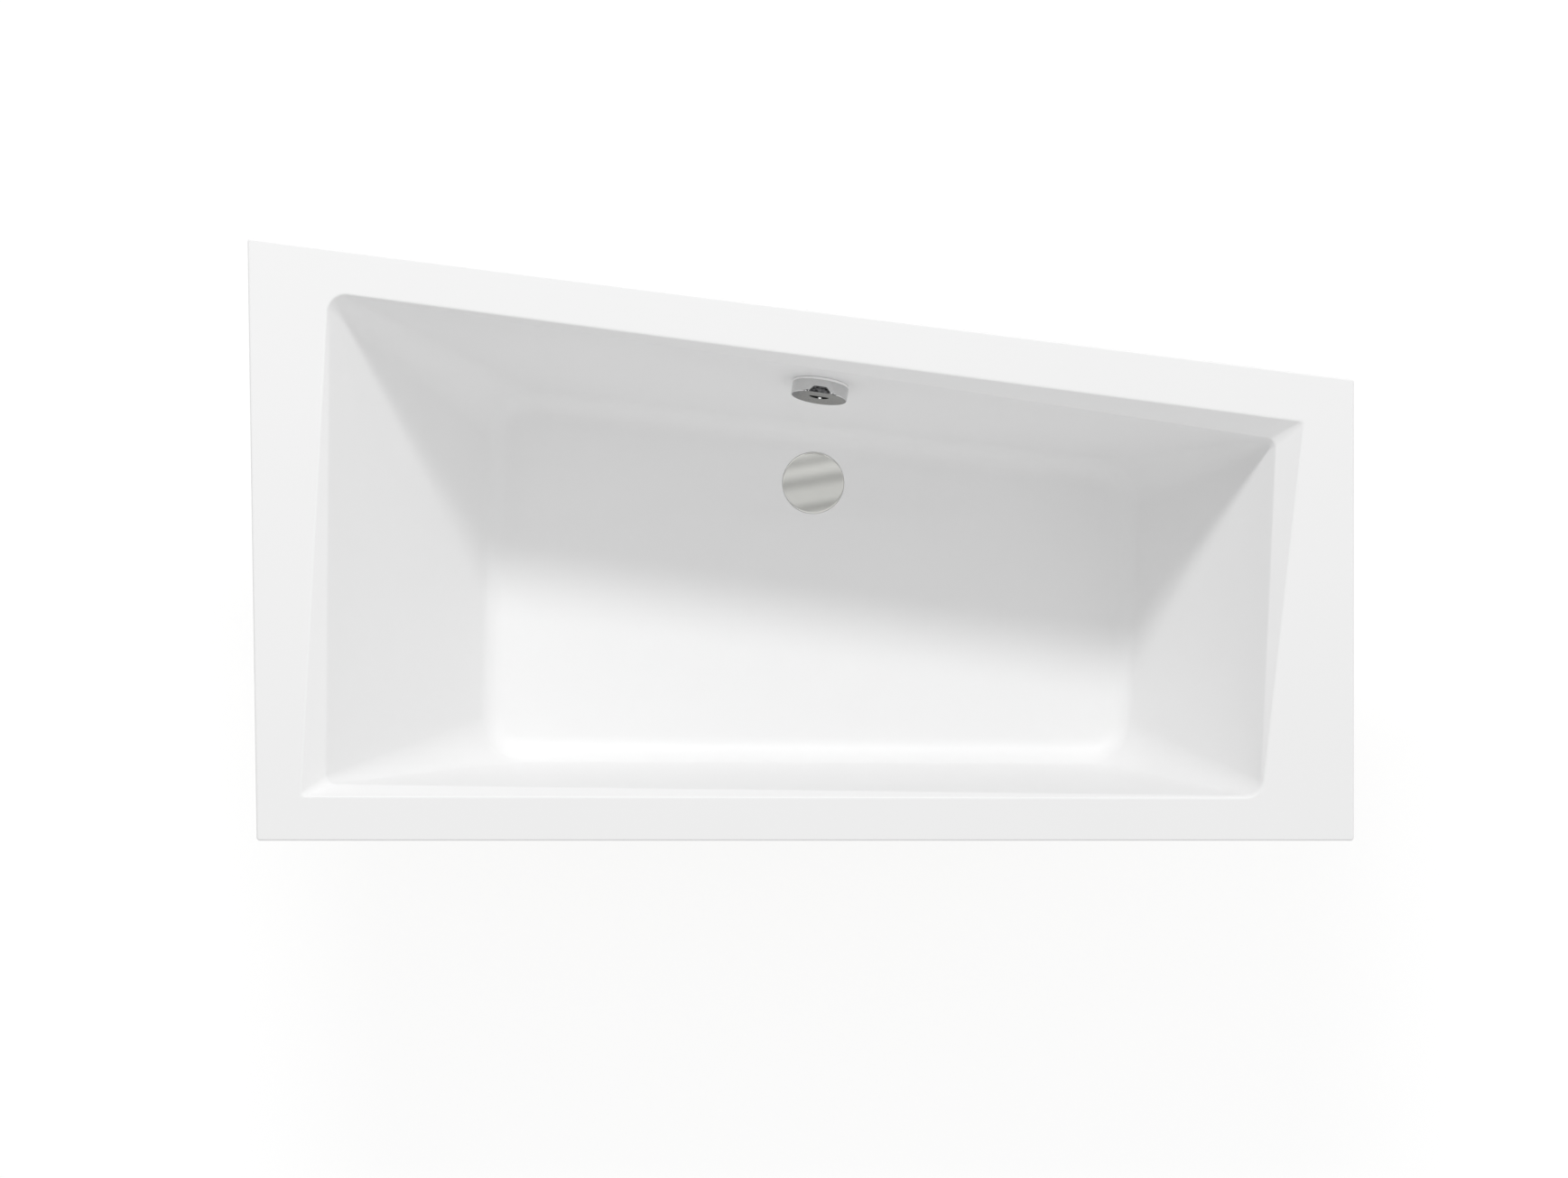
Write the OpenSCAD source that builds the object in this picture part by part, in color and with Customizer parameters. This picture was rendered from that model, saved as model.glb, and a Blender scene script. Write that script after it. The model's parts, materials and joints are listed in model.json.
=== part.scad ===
// Asymmetric acrylic bathtub with a turned, faceted basin, on levelling feet,
// with a pop-up waste that a rotary overflow knob works through a cable.
// Millimetres. The origin is on the ground, below the middle of the rim's bounding box.
// +X runs along the straight front side, +Y to the slanted back side, +Z up.

/* [Rim] */
// Overall length, from the back left corner to the right end
tub_length = 1700; // [1600:10:1800]
// Depth of the wide left end
left_depth = 926; // [880:1:980]
// Depth of the narrow right end
right_depth = 709; // [680:1:760]
// How far the front left corner stands in from the back left one
left_lean = 14; // [0:1:25]
// Height of the rim above the ground, with the feet screwed in
rim_height = 600; // [585:5:640]
// Height of the turned-down lip
lip_height = 38; // [30:1:55]
// Thickness of the acrylic sheet
skin = 5; // [4:0.5:6]
// Rounding of the rim's outer and inner edges
edge_radius = 3; // [2:0.5:4]
// Rounding of the rim's four corners in plan
rim_corner_radius = 5; // [3:0.5:12]

/* [Turned basin] */
// Deck beside the opening at its back left corner: left, back
deck_back_left = [126, 70]; // [40:1:200]
// Deck beside the opening at its back right corner: right, back
deck_back_right = [80, 78]; // [40:1:200]
// Deck beside the opening at its front right corner: right, front
deck_front_right = [144, 69]; // [40:1:200]
// Deck beside the opening at its front left corner: left, front
deck_front_left = [71, 71]; // [40:1:200]
// Drop of the basin's two sunk corners below the rim
facet_drop = 28; // [15:1:40]
// Run of the facets at the sunk back right corner: along, across
facet_run_back = [37, 24]; // [10:1:60]
// Run of the facets at the sunk front left corner: along, across
facet_run_front = [33, 15]; // [10:1:60]
// Depth of the basin from the rim to the floor
basin_depth = 430; // [400:5:450]
// Floor corner in from the basin's back left corner: along, across
floor_in_back_left = [228, 128]; // [20:1:260]
// Floor corner in from the basin's back right corner: along, across
floor_in_back_right = [189, 31]; // [20:1:260]
// Floor corner in from the basin's front right corner: along, across
floor_in_front_right = [179, 35]; // [20:1:260]
// Floor corner in from the basin's front left corner: along, across
floor_in_front_left = [222, 22]; // [20:1:260]
// Radius of the two rounded corners where basin and rim meet
open_corner_radius = 26; // [18:1:34]
// Radius of the basin's corners at the sunk ends
sunk_corner_radius = 15; // [10:1:24]
// Radius of the basin's corners where the walls reach the floor
low_corner_radius = 64; // [60:1:80]
// Fillet between the walls and the floor
floor_fillet = 42; // [34:1:50]

/* [Backing] */
// Thickness of the glass-fibre laminate under the acrylic
laminate_coat = 4; // [3:0.5:6]
// Thickness of the base board
board_thickness = 16; // [12:1:19]
// Distance of the base board's edge from the floor's edge
board_margin = 50; // [40:1:80]
// Width of the battens under the rim
batten_width = 30; // [20:1:36]
// Height of the battens under the rim
batten_height = 18; // [12:1:24]

/* [Legs] */
// Distance of the left leg rail from the left end
left_rail_x = 500; // [440:5:560]
// Distance of the right leg rail from the right end
right_rail_x = 460; // [420:5:520]
// Width of a leg rail
rail_width = 40; // [36:1:50]
// Height of a leg rail
rail_height = 30; // [24:1:34]
// Wall of a leg rail
rail_wall = 2; // [1.5:0.5:3]
// Distance of a foot's axis outside the floor's edge
foot_out = 42; // [40:1:50]
// Diameter of the feet's threaded rods
rod_d = 12; // [10:1:12]
// Length of the thread that stands free above the lock nut
rod_spare = 40; // [38:1:50]
// Diameter of a foot pad
pad_d = 56; // [44:1:64]
// Height of a foot pad
pad_height = 14; // [10:1:18]
// Width of the nuts across their flats
nut_flats = 19; // [17:0.5:22]
// Height of one nut
nut_height = 10; // [8:0.5:11]
// Diameter of the wood screws' shanks
screw_d = 5; // [4:0.5:5]

/* [Waste] */
// Distance of the waste from the left end
waste_x = 872; // [820:1:900]
// Distance of the waste from the front
waste_y = 560; // [520:1:562]
// Hole in the floor
waste_hole_d = 52; // [50:0.5:56]
// Chrome cover of the plug
cover_d = 100; // [94:1:102]
// Rise of the plug from shut to open
plug_lift = 10; // [8:0.5:11]
// Depth of the dish that the cover lies in
dish_depth = 7; // [6.5:0.5:9]
// Outer diameter of the waste flange's plate
flange_d = 86; // [78:1:90]
// Outer diameter of the waste flange's tube
flange_tube_d = 48; // [46:0.5:48]
// Diameter of the plug's stem
stem_d = 8; // [6:0.5:9]
// Outer diameter of the waste body's chamber
chamber_d = 66; // [64:1:72]
// Outer diameter of the drain pipes
pipe_d = 40; // [38:0.5:40]
// Wall of the plastic fittings
fitting_wall = 3; // [2.5:0.25:3.5]
// Radius of the trap's bends at the pipe's middle
trap_bend = 34; // [34:1:38]
// Length of the trap's straight inlet leg
inlet_leg = 18; // [16:1:20]
// Length of the outlet's free end
outlet_free = 60; // [45:5:90]

/* [Overflow] */
// Distance of the overflow from the left end
overflow_x = 882; // [860:1:890]
// Depth of the overflow's centre below the rim
overflow_depth = 107; // [104:1:120]
// Hole in the back wall
overflow_hole_d = 60; // [58:1:64]
// Diameter of the overflow knob
knob_d = 88; // [84:1:92]
// Thickness of the overflow knob
knob_height = 20; // [17:1:24]
// Water gap between the knob and the wall
knob_gap = 4; // [3.5:0.5:6]
// Diameter of the overflow hose
hose_d = 32; // [30:1:32]
// How far the hose swings out behind its lower end
hose_bend = 62; // [58:1:64]
// Diameter of the cable's sheath
cable_d = 6; // [5:0.5:6]

/* [Hidden] */
// Running clearance of a shaft in its hole, and the gap between bodies that pass each other
running_gap = 0.05;
body_gap = 0.3;
lamina_gap = 0.3;
// Segments of a basin corner, of a side, of the floor fillet, and rings down a wall
corner_steps = 8;
side_steps = 6;
fillet_steps = 7;
wall_steps = 5;
$fn = 64;

// Levels, measured up from the ground
floor_z = rim_height - basin_depth;
laminate_z = floor_z - skin - lamina_gap - laminate_coat;
board_z = laminate_z - board_thickness;
rail_z = board_z - rail_height;

// Corners run clockwise seen from above: back left, back right, front right, front left.
// Side k runs from corner k to corner k + 1: back, right, front, left.
function unit(v) = v / norm(v);
function leftward(v) = [-v.y, v.x];
function mix(a, b, t) = a + (b - a) * t;
function back_line(x) = mix(left_depth, right_depth, x / tub_length);

// Corner k of a four-sided outline whose side i moves outward by moves[i]
function moved_corner(corners, moves, k) =
    let (before = unit(corners[k] - corners[(k + 3) % 4]))
    let (after = unit(corners[(k + 1) % 4] - corners[k]))
    let (a = corners[k] + leftward(before) * moves[(k + 3) % 4])
    let (b = corners[k] + leftward(after) * moves[k])
    a + before * cross(b - a, after) / cross(before, after);
function moved(corners, moves) = [for (k = [0:3]) moved_corner(corners, moves, k)];
function grown(corners, by) = moved(corners, [by, by, by, by]);

// Points of one rounded corner, with the height going from rise[0] to rise[1]
function corner_arc(before, corner, after, radius, rise) =
    let (a = unit(before - corner))
    let (b = unit(after - corner))
    let (half = acos(a * b) / 2)
    let (centre = corner + unit(a + b) * radius / sin(half))
    let (from = corner + a * radius / tan(half) - centre)
    let (start = atan2(from.y, from.x))
    [for (i = [0:corner_steps])
        let (turn = start - (180 - 2 * half) * i / corner_steps)
        [
            centre.x + radius * cos(turn),
            centre.y + radius * sin(turn),
            mix(rise[0], rise[1], i / corner_steps)
        ]];

// A ring of points round a four-sided outline; rises holds the height before and after each corner
function ring(corners, radii, rises) =
    let (arcs = [
        for (k = [0:3])
            corner_arc(corners[(k + 3) % 4], corners[k], corners[(k + 1) % 4], radii[k], rises[k])
    ])
    [for (k = [0:3])
        each concat(
            arcs[k],
            [for (i = [1:side_steps - 1])
                mix(arcs[k][corner_steps], arcs[(k + 1) % 4][0], i / side_steps)]
        )];
function flat_ring(corners, radii, z) = ring(corners, radii, [for (k = [0:3]) [z, z]]);

// Outlines in plan, from the front left of the rim's bounding box
rim_corners = [[0, left_depth], [tub_length, right_depth], [tub_length, 0], [left_lean, 0]];
open_corners = [
    [deck_back_left.x, back_line(deck_back_left.x) - deck_back_left.y],
    [
        tub_length - deck_back_right.x,
        back_line(tub_length - deck_back_right.x) - deck_back_right.y
    ],
    [tub_length - deck_front_right.x, deck_front_right.y],
    [left_lean + deck_front_left.x, deck_front_left.y],
];
basin_corners = [
    open_corners[0],
    open_corners[1] - facet_run_back,
    open_corners[2],
    open_corners[3] + facet_run_front,
];
floor_corners = [
    basin_corners[0] + [floor_in_back_left.x, -floor_in_back_left.y],
    basin_corners[1] - floor_in_back_right,
    basin_corners[2] + [-floor_in_front_right.x, floor_in_front_right.y],
    basin_corners[3] + floor_in_front_left,
];
// Even where basin and rim meet, the basin's edge lies one edge rounding below the rim's
touch_drop = edge_radius;
basin_drops = [touch_drop, facet_drop - edge_radius, touch_drop, facet_drop - edge_radius];
open_radii = [open_corner_radius, edge_radius, open_corner_radius, edge_radius];
basin_radii = [open_corner_radius, sunk_corner_radius, open_corner_radius, sunk_corner_radius];
rim_radii = [for (k = [0:3]) rim_corner_radius];

// Lean of side k from the vertical, from the middle of its top edge to the floor's edge
function wall_lean(k) =
    let (top = (basin_corners[k] + basin_corners[(k + 1) % 4]) / 2)
    let (along = unit(floor_corners[(k + 1) % 4] - floor_corners[k]))
    let (run = (top - floor_corners[k]) * leftward(along))
    let (drop = (basin_drops[k] + basin_drops[(k + 1) % 4]) / 2 + edge_radius)
    atan2(run, basin_depth - drop);
wall_leans = [for (k = [0:3]) wall_lean(k)];

// Ring s (0 to 1) of the fillet between walls and floor, thick outside the basin's surface
function fillet_turn(k, s) = mix(wall_leans[k], 90, s);
function fillet_inset(k, s, thick) =
    floor_fillet * tan((90 - wall_leans[k]) / 2)
        - (floor_fillet + thick) * cos(fillet_turn(k, s));
function fillet_rise(k, s, thick) =
    floor_z + floor_fillet - (floor_fillet + thick) * sin(fillet_turn(k, s));
function fillet_ring(s, thick) =
    let (insets = [for (k = [0:3]) fillet_inset(k, s, thick)])
    let (rises = [for (k = [0:3]) fillet_rise(k, s, thick)])
    ring(
        moved(floor_corners, -insets),
        [for (k = [0:3]) low_corner_radius - (insets[(k + 3) % 4] + insets[k]) / 2],
        [for (k = [0:3]) [rises[(k + 3) % 4], rises[k]]]
    );

// The basin's upper edge, thick outside its surface and lowered with it
function basin_edge(thick) =
    let (drops = basin_drops + [for (k = [0:3]) edge_radius + thick])
    ring(
        moved(basin_corners, [for (k = [0:3]) thick / cos(wall_leans[k])]),
        [for (r = basin_radii) r + thick],
        [for (d = drops) [rim_height - d, rim_height - d]]
    );
// Ring t (0 to 1) down the ruled walls
function wall_ring(t, thick) =
    let (top = basin_edge(thick))
    let (low = fillet_ring(0, thick))
    [for (i = [0:len(top) - 1]) mix(top[i], low[i], t)];
// Rings from part t of the walls down to the floor
function basin_rings(t, thick) = [
    for (i = [0:wall_steps - 1]) wall_ring(mix(t, 1, i / wall_steps), thick),
    for (i = [0:fillet_steps]) fillet_ring(i / fillet_steps, thick),
];
function reversed(list) = [for (i = [len(list) - 1:-1:0]) list[i]];

// Rings of the rim's upper side, from the lip's foot over the rounded edges to the opening
edge_turns = [0, 45, 90];
rim_rings = [
    flat_ring(rim_corners, rim_radii, rim_height - lip_height),
    for (a = edge_turns)
        flat_ring(
            grown(rim_corners, -edge_radius * (1 - cos(a))),
            [for (r = rim_radii) r - edge_radius * (1 - cos(a))],
            rim_height - edge_radius * (1 - sin(a))
        ),
    for (a = edge_turns)
        flat_ring(
            grown(open_corners, edge_radius * (1 - sin(a))),
            [for (r = open_radii) r + edge_radius * (1 - sin(a))],
            rim_height - edge_radius * (1 - cos(a))
        ),
];
// Rings of the rim's underside, from the opening out to the lip's foot
rim_under_rings = [
    flat_ring(grown(open_corners, skin), [for (r = open_radii) r + skin], rim_height - skin),
    for (z = [rim_height - skin, rim_height - lip_height])
        flat_ring(
            grown(rim_corners, -skin),
            [for (r = rim_radii) max(r - skin, edge_radius / 2)],
            z
        ),
];

// A skin whose upper side is one stack of rings and whose underside is another, each closed by
// a fan of faces over the floor
module lofted_skin(upper, under) {
    n = len(upper[0]);
    rings = concat(upper, under);
    last = len(rings);
    seam = len(upper) - 1;
    centre = last * n;
    polyhedron(
        points = [
            for (r = rings) each r,
            (rings[seam][0] + rings[seam][n / 2]) / 2,
            (rings[seam + 1][0] + rings[seam + 1][n / 2]) / 2
        ],
        faces = [
            for (i = [0:last - 1])
                if (i != seam)
                    for (j = [0:n - 1])
                        let (a = i * n + j)
                        let (b = i * n + (j + 1) % n)
                        let (c = ((i + 1) % last) * n + (j + 1) % n)
                        let (d = ((i + 1) % last) * n + j)
                        each [[a, b, c], [a, c, d]],
            for (j = [0:n - 1])
                let (k = (j + 1) % n)
                each [
                    [seam * n + j, seam * n + k, centre],
                    [(seam + 1) * n + k, (seam + 1) * n + j, centre + 1]
                ],
        ],
        convexity = 6
    );
}

// Places its children in the tub's frame, whose origin is under the middle of the rim's outline
rim_x = [for (p = rim_rings[0]) p.x];
rim_y = [for (p = rim_rings[0]) p.y];
middle = [(min(rim_x) + max(rim_x)) / 2, (min(rim_y) + max(rim_y)) / 2];
module in_tub() {
    translate([-middle.x, -middle.y, 0]) children();
}

module ring_tube(outer, inner, z0, z1) {
    translate([0, 0, z0])
        difference() {
            cylinder(d = outer, h = z1 - z0);
            translate([0, 0, -1]) cylinder(d = inner, h = z1 - z0 + 2);
        }
}

// Stack of the waste, down from the basin's floor
cover_play = 2;
dish_d = cover_d + 2 * cover_play;
dish_z = floor_z - dish_depth;
boss_z = dish_z - skin;
boss_d = dish_d + 2 * skin;
seal_thickness = 1;
plate_thickness = 2.5;
gasket_thickness = 2;
collar_thickness = 4;
plate_z = dish_z + seal_thickness;
body_top_z = boss_z - gasket_thickness;
neck_length = 30;
chamber_top_z = body_top_z - neck_length;
chamber_height = 34;
chamber_z = chamber_top_z - chamber_height;
flange_tube_length = 36;
flange_bore_d = flange_tube_d - 2 * fitting_wall;
tail_length = 14;
neck_d = flange_tube_d + 4 * fitting_wall;
collar_d = waste_hole_d + 28;

module at_waste() {
    in_tub() translate([waste_x, waste_y, 0]) children();
}

// The back wall at the overflow: a point on it, its yaw and its lean
wall_top_a = basin_corners[0];
wall_top_b = basin_corners[1];
wall_share = (overflow_x - wall_top_a.x) / (wall_top_b.x - wall_top_a.x);
wall_edge_y = mix(wall_top_a.y, wall_top_b.y, wall_share);
wall_edge_drop = mix(basin_drops[0], basin_drops[1], wall_share) + edge_radius;
floor_dir = unit(floor_corners[1] - floor_corners[0]);
floor_edge_y = floor_corners[0].y + (overflow_x - floor_corners[0].x) * floor_dir.y / floor_dir.x;
wall_run = (wall_edge_y - floor_edge_y) / (basin_depth - wall_edge_drop);
overflow_y = wall_edge_y - (overflow_depth - wall_edge_drop) * wall_run;
edge_dir = unit(wall_top_b - wall_top_a);
depth_share = (overflow_depth - wall_edge_drop) / (basin_depth - wall_edge_drop);
wall_yaw = mix(atan2(edge_dir.y, edge_dir.x), atan2(floor_dir.y, floor_dir.x), depth_share);
overflow_lean = atan(wall_run * cos(wall_yaw));

// Local +Z points from the wall into the basin, local +Y up the wall
module at_overflow() {
    in_tub()
        translate([overflow_x, overflow_y, rim_height - overflow_depth])
            rotate([0, 0, wall_yaw])
                rotate([90 - overflow_lean, 0, 0])
                    children();
}

// The acrylic shell: flat deck, lip, four facets, ruled walls, fillets and floor
module tub_shell() {
    color("white")
        difference() {
            union() {
                in_tub()
                    lofted_skin(
                        concat(rim_rings, basin_rings(0, 0)),
                        concat(reversed(basin_rings(0, skin)), rim_under_rings)
                    );
                at_waste() translate([0, 0, boss_z]) cylinder(d = boss_d, h = dish_depth);
            }
            at_waste() translate([0, 0, dish_z]) cylinder(d = dish_d, h = basin_depth / 4);
            at_waste() translate([0, 0, boss_z - 1]) cylinder(d = waste_hole_d, h = basin_depth / 4);
            at_overflow() translate([0, 0, -basin_depth / 8])
                cylinder(d = overflow_hole_d, h = basin_depth / 4);
        }
}

// Part of the walls' height where the laminate starts
laminate_start = 0.05;

module laminate() {
    inside = skin + lamina_gap;
    color("khaki")
        difference() {
            in_tub()
                lofted_skin(
                    basin_rings(laminate_start, inside),
                    reversed(basin_rings(laminate_start, inside + laminate_coat))
                );
            at_waste() translate([0, 0, laminate_z - 1])
                cylinder(d = boss_d + 2, h = basin_depth / 4);
            at_overflow() translate([0, 0, -basin_depth / 8])
                cylinder(d = overflow_hole_d, h = basin_depth / 4);
            at_overflow() translate([0, 0, -seat_back - basin_depth / 8])
                cylinder(d = overflow_body_d + 4, h = basin_depth / 8);
        }
}

module base_board() {
    color("burlywood")
        difference() {
            in_tub()
                translate([0, 0, board_z])
                    linear_extrude(board_thickness)
                        polygon(grown(floor_corners, -board_margin));
            at_waste() translate([0, 0, board_z - 1])
                cylinder(d = boss_d + 12, h = board_thickness + 2);
            in_tub()
                for (x = [left_rail_x, right_rail_at])
                    for (y = screw_places(x))
                        translate([x, y, board_z - 1]) cylinder(d = screw_d, h = screw_bite + 1);
        }
}

// Battens bonded under the deck, just inside the lip
batten_corners = grown(rim_corners, -skin - 2);
batten_inner = grown(rim_corners, -skin - 2 - batten_width);
batten_end = batten_width + 10;

module rim_batten(k) {
    a = batten_corners[k];
    b = batten_corners[(k + 1) % 4];
    along = unit(b - a);
    inward = -leftward(along);
    size = norm(b - a) - 2 * batten_end;
    start = a + along * batten_end;
    color("tan")
        in_tub()
            translate([start.x, start.y, rim_height - skin - batten_height])
                linear_extrude(batten_height)
                    polygon([
                        [0, 0],
                        along * size,
                        along * size + inward * batten_width,
                        inward * batten_width
                    ]);
}

// Legs: two channel rails across the tub, each with two adjustable feet
right_rail_at = tub_length - right_rail_x;
rail_overhang = 24;
function floor_front(x) =
    mix(
        floor_corners[3].y,
        floor_corners[2].y,
        (x - floor_corners[3].x) / (floor_corners[2].x - floor_corners[3].x)
    );
function floor_back(x) = floor_corners[0].y + (x - floor_corners[0].x) * floor_dir.y / floor_dir.x;
function foot_front(x) = floor_front(x) - foot_out;
function foot_back(x) = floor_back(x) + foot_out;
// Holes for the wood screws, in from the board's front and back edges
screw_in = [40, 110];
function board_front(x) = floor_front(x) + board_margin;
function board_back(x) = floor_back(x) - board_margin;
function screw_places(x) = [
    for (s = screw_in) each [board_front(x) + s, board_back(x) - s]
];

module leg_rail(x) {
    y0 = foot_front(x) - rail_overhang;
    y1 = foot_back(x) + rail_overhang;
    color("silver")
        in_tub()
            difference() {
                translate([x, y1, rail_z])
                    rotate([90, 0, 0])
                        linear_extrude(y1 - y0)
                            difference() {
                                translate([-rail_width / 2, 0]) square([rail_width, rail_height]);
                                translate([-rail_width / 2 + rail_wall, -1])
                                    square([rail_width - 2 * rail_wall, rail_height - rail_wall + 1]);
                            }
                for (y = [foot_front(x), foot_back(x)])
                    translate([x, y, rail_z]) cylinder(d = rod_d + 2 * body_gap, h = rail_height + 1);
                for (y = screw_places(x))
                    translate([x, y, rail_z]) cylinder(d = screw_d + body_gap, h = rail_height + 1);
            }
}

// Wood screws with pan heads under the rails' webs, driven into the base board
head_d = 10;
head_height = 3;
screw_bite = board_thickness - 4;
module rail_screws() {
    web_z = board_z - rail_wall;
    color("gainsboro")
        in_tub()
            for (x = [left_rail_x, right_rail_at])
                for (y = screw_places(x))
                    translate([x, y, web_z - head_height])
                        difference() {
                            union() {
                                cylinder(d = head_d, h = head_height);
                                cylinder(d = screw_d, h = head_height + rail_wall + screw_bite);
                            }
                            translate([-head_d / 4, -0.5, -1]) cube([head_d / 2, 1, 2]);
                            translate([-0.5, -head_d / 4, -1]) cube([1, head_d / 2, 2]);
                        }
}

// The lock nut lies on the rail's web, the carrying nut under it
lock_nut_z = board_z + body_gap;
rod_top_z = lock_nut_z + nut_height + rod_spare;
rod_seat_z = pad_height / 2;

module foot_rod(x, y) {
    chamfer = 1;
    color("silver")
        in_tub()
            translate([x, y, rod_seat_z])
                union() {
                    cylinder(d = rod_d, h = rod_top_z - rod_seat_z - chamfer);
                    translate([0, 0, rod_top_z - rod_seat_z - chamfer])
                        cylinder(d1 = rod_d, d2 = rod_d - 2 * chamfer, h = chamfer);
                }
}

// A pad with a tapered skirt and a socket for the rod
module foot_pad(x, y) {
    socket_d = rod_d + 12;
    socket_z = pad_height + 10;
    color("dimgray")
        in_tub()
            translate([x, y, 0])
                rotate_extrude()
                    polygon([
                        [0, 0],
                        [pad_d / 2 - 2, 0],
                        [pad_d / 2, 2],
                        [pad_d / 2, 5],
                        [socket_d / 2 + 4, pad_height],
                        [socket_d / 2, pad_height + 2],
                        [socket_d / 2, socket_z],
                        [rod_d / 2, socket_z],
                        [rod_d / 2, rod_seat_z],
                        [0, rod_seat_z],
                    ]);
}

module hex_nut(z) {
    translate([0, 0, z])
        difference() {
            cylinder(d = nut_flats / cos(30), h = nut_height, $fn = 6);
            translate([0, 0, -1]) cylinder(d = rod_d + 2 * running_gap, h = nut_height + 2);
        }
}

module foot_nuts(x, y) {
    color("gainsboro")
        in_tub()
            translate([x, y, 0]) {
                hex_nut(lock_nut_z);
                hex_nut(board_z - rail_wall - body_gap - nut_height);
            }
}

// Waste: chrome flange with a spider that guides the plug's stem
hub_d = stem_d + 6;
spider_z = body_top_z - neck_length + 6;
spider_height = 6;
spider_arm = 3;
module waste_flange() {
    bevel = 1;
    tube_z = plate_z - flange_tube_length;
    color("silver")
        at_waste()
            union() {
                rotate_extrude()
                    polygon([
                        [flange_bore_d / 2, tube_z],
                        [flange_tube_d / 2, tube_z],
                        [flange_tube_d / 2, plate_z],
                        [flange_d / 2, plate_z],
                        [flange_d / 2, plate_z + plate_thickness - bevel],
                        [flange_d / 2 - bevel, plate_z + plate_thickness],
                        [flange_bore_d / 2, plate_z + plate_thickness],
                    ]);
                difference() {
                    translate([0, 0, spider_z]) {
                        cylinder(d = hub_d, h = spider_height);
                        for (a = [30, 150, 270])
                            rotate([0, 0, a])
                                translate([0, -spider_arm / 2, 0])
                                    cube([flange_bore_d / 2 + 1, spider_arm, spider_height]);
                    }
                    translate([0, 0, spider_z - 1])
                        cylinder(d = stem_d + 2 * running_gap, h = spider_height + 2);
                }
            }
}

module waste_seal() {
    color("black")
        at_waste() ring_tube(flange_d - 4, waste_hole_d, dish_z, plate_z);
}

module waste_gasket() {
    color("black")
        at_waste() ring_tube(collar_d, waste_hole_d, body_top_z, boss_z);
}

// Port of the hose: its height, and how far its end stands from the waste's axis
port_z = chamber_z + 18;
port_reach = chamber_d / 2 + 22;
cable_port_d = cable_d + 6;
cable_port_z = chamber_z + 11;
cable_port_reach = chamber_d / 2 + 16;
cable_hole_d = cable_d + 2 * running_gap;
chamber_bore_d = chamber_d - 2 * fitting_wall;
pipe_bore_d = pipe_d - 2 * fitting_wall;
hose_bore_d = hose_d - 2 * fitting_wall;
tail_z = chamber_z - tail_length;

// Points from the waste to +Y along the port
module along_y() {
    rotate([-90, 0, 0]) children();
}
module along_x() {
    rotate([0, 90, 0]) children();
}

// Pivot of the lift lever, below the stem's foot
lever_reach = 22;
lever_turn = asin(plug_lift / 2 / lever_reach);
lever_tip_r = 2.5;
pivot_z = chamber_z + 20;
pin_d = 4;
stem_foot_z = pivot_z - lever_reach * sin(lever_turn) + lever_tip_r + 1.5 * body_gap;

module waste_body() {
    pin_span = 2 * sqrt(pow(chamber_bore_d / 2, 2) - pow(lever_reach, 2));
    color("whitesmoke")
        at_waste()
            difference() {
                union() {
                    translate([0, 0, body_top_z - collar_thickness])
                        cylinder(d = collar_d, h = collar_thickness);
                    translate([0, 0, chamber_top_z]) cylinder(d = neck_d, h = neck_length);
                    translate([0, 0, chamber_z])
                        cylinder(d = chamber_d, h = chamber_height + fitting_wall);
                    translate([0, 0, tail_z]) cylinder(d = pipe_d, h = tail_length + 1);
                    translate([0, 0, port_z]) along_y() cylinder(d = hose_d, h = port_reach);
                    translate([0, 0, cable_port_z])
                        along_x() cylinder(d = cable_port_d, h = cable_port_reach);
                }
                translate([0, 0, chamber_top_z - 1])
                    cylinder(d = flange_tube_d + 2 * running_gap, h = neck_length + 2);
                translate([0, 0, chamber_z + fitting_wall])
                    cylinder(d = chamber_bore_d, h = chamber_height - fitting_wall);
                translate([0, 0, tail_z - 1]) cylinder(d = pipe_bore_d, h = chamber_height);
                translate([0, 0, port_z]) along_y() cylinder(d = hose_bore_d, h = port_reach + 1);
                translate([0, 0, cable_port_z])
                    along_x() cylinder(d = cable_hole_d, h = cable_port_reach + 1);
                translate([lever_reach, -pin_span / 2 - fitting_wall / 2, pivot_z])
                    along_y() cylinder(d = pin_d, h = pin_span + fitting_wall);
            }
}

module lever_pin() {
    pin_span = 2 * sqrt(pow(chamber_bore_d / 2, 2) - pow(lever_reach, 2));
    color("silver")
        at_waste()
            translate([lever_reach, -pin_span / 2 - fitting_wall / 2, pivot_z])
                along_y() cylinder(d = pin_d, h = pin_span + fitting_wall);
}

// A bell crank: a long arm under the stem, and a short arm that the cable pulls
module lift_lever() {
    width = 8;
    boss = 8;
    short_arm = 9;
    color("ivory")
        at_waste()
            translate([lever_reach, 0, pivot_z])
                rotate([0, -lever_turn, 0])
                    difference() {
                        translate([0, width / 2, 0])
                            rotate([90, 0, 0])
                                linear_extrude(width)
                                    union() {
                                        circle(d = boss);
                                        translate([-lever_reach, -lever_tip_r + 0.5])
                                            square([lever_reach, 2 * lever_tip_r - 1]);
                                        translate([-lever_reach, 0]) circle(r = lever_tip_r);
                                        translate([-lever_tip_r + 0.5, -short_arm])
                                            square([2 * lever_tip_r - 1, short_arm]);
                                    }
                        translate([0, -width, 0])
                            along_y() cylinder(d = pin_d + 2 * running_gap, h = 2 * width);
                    }
}

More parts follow.
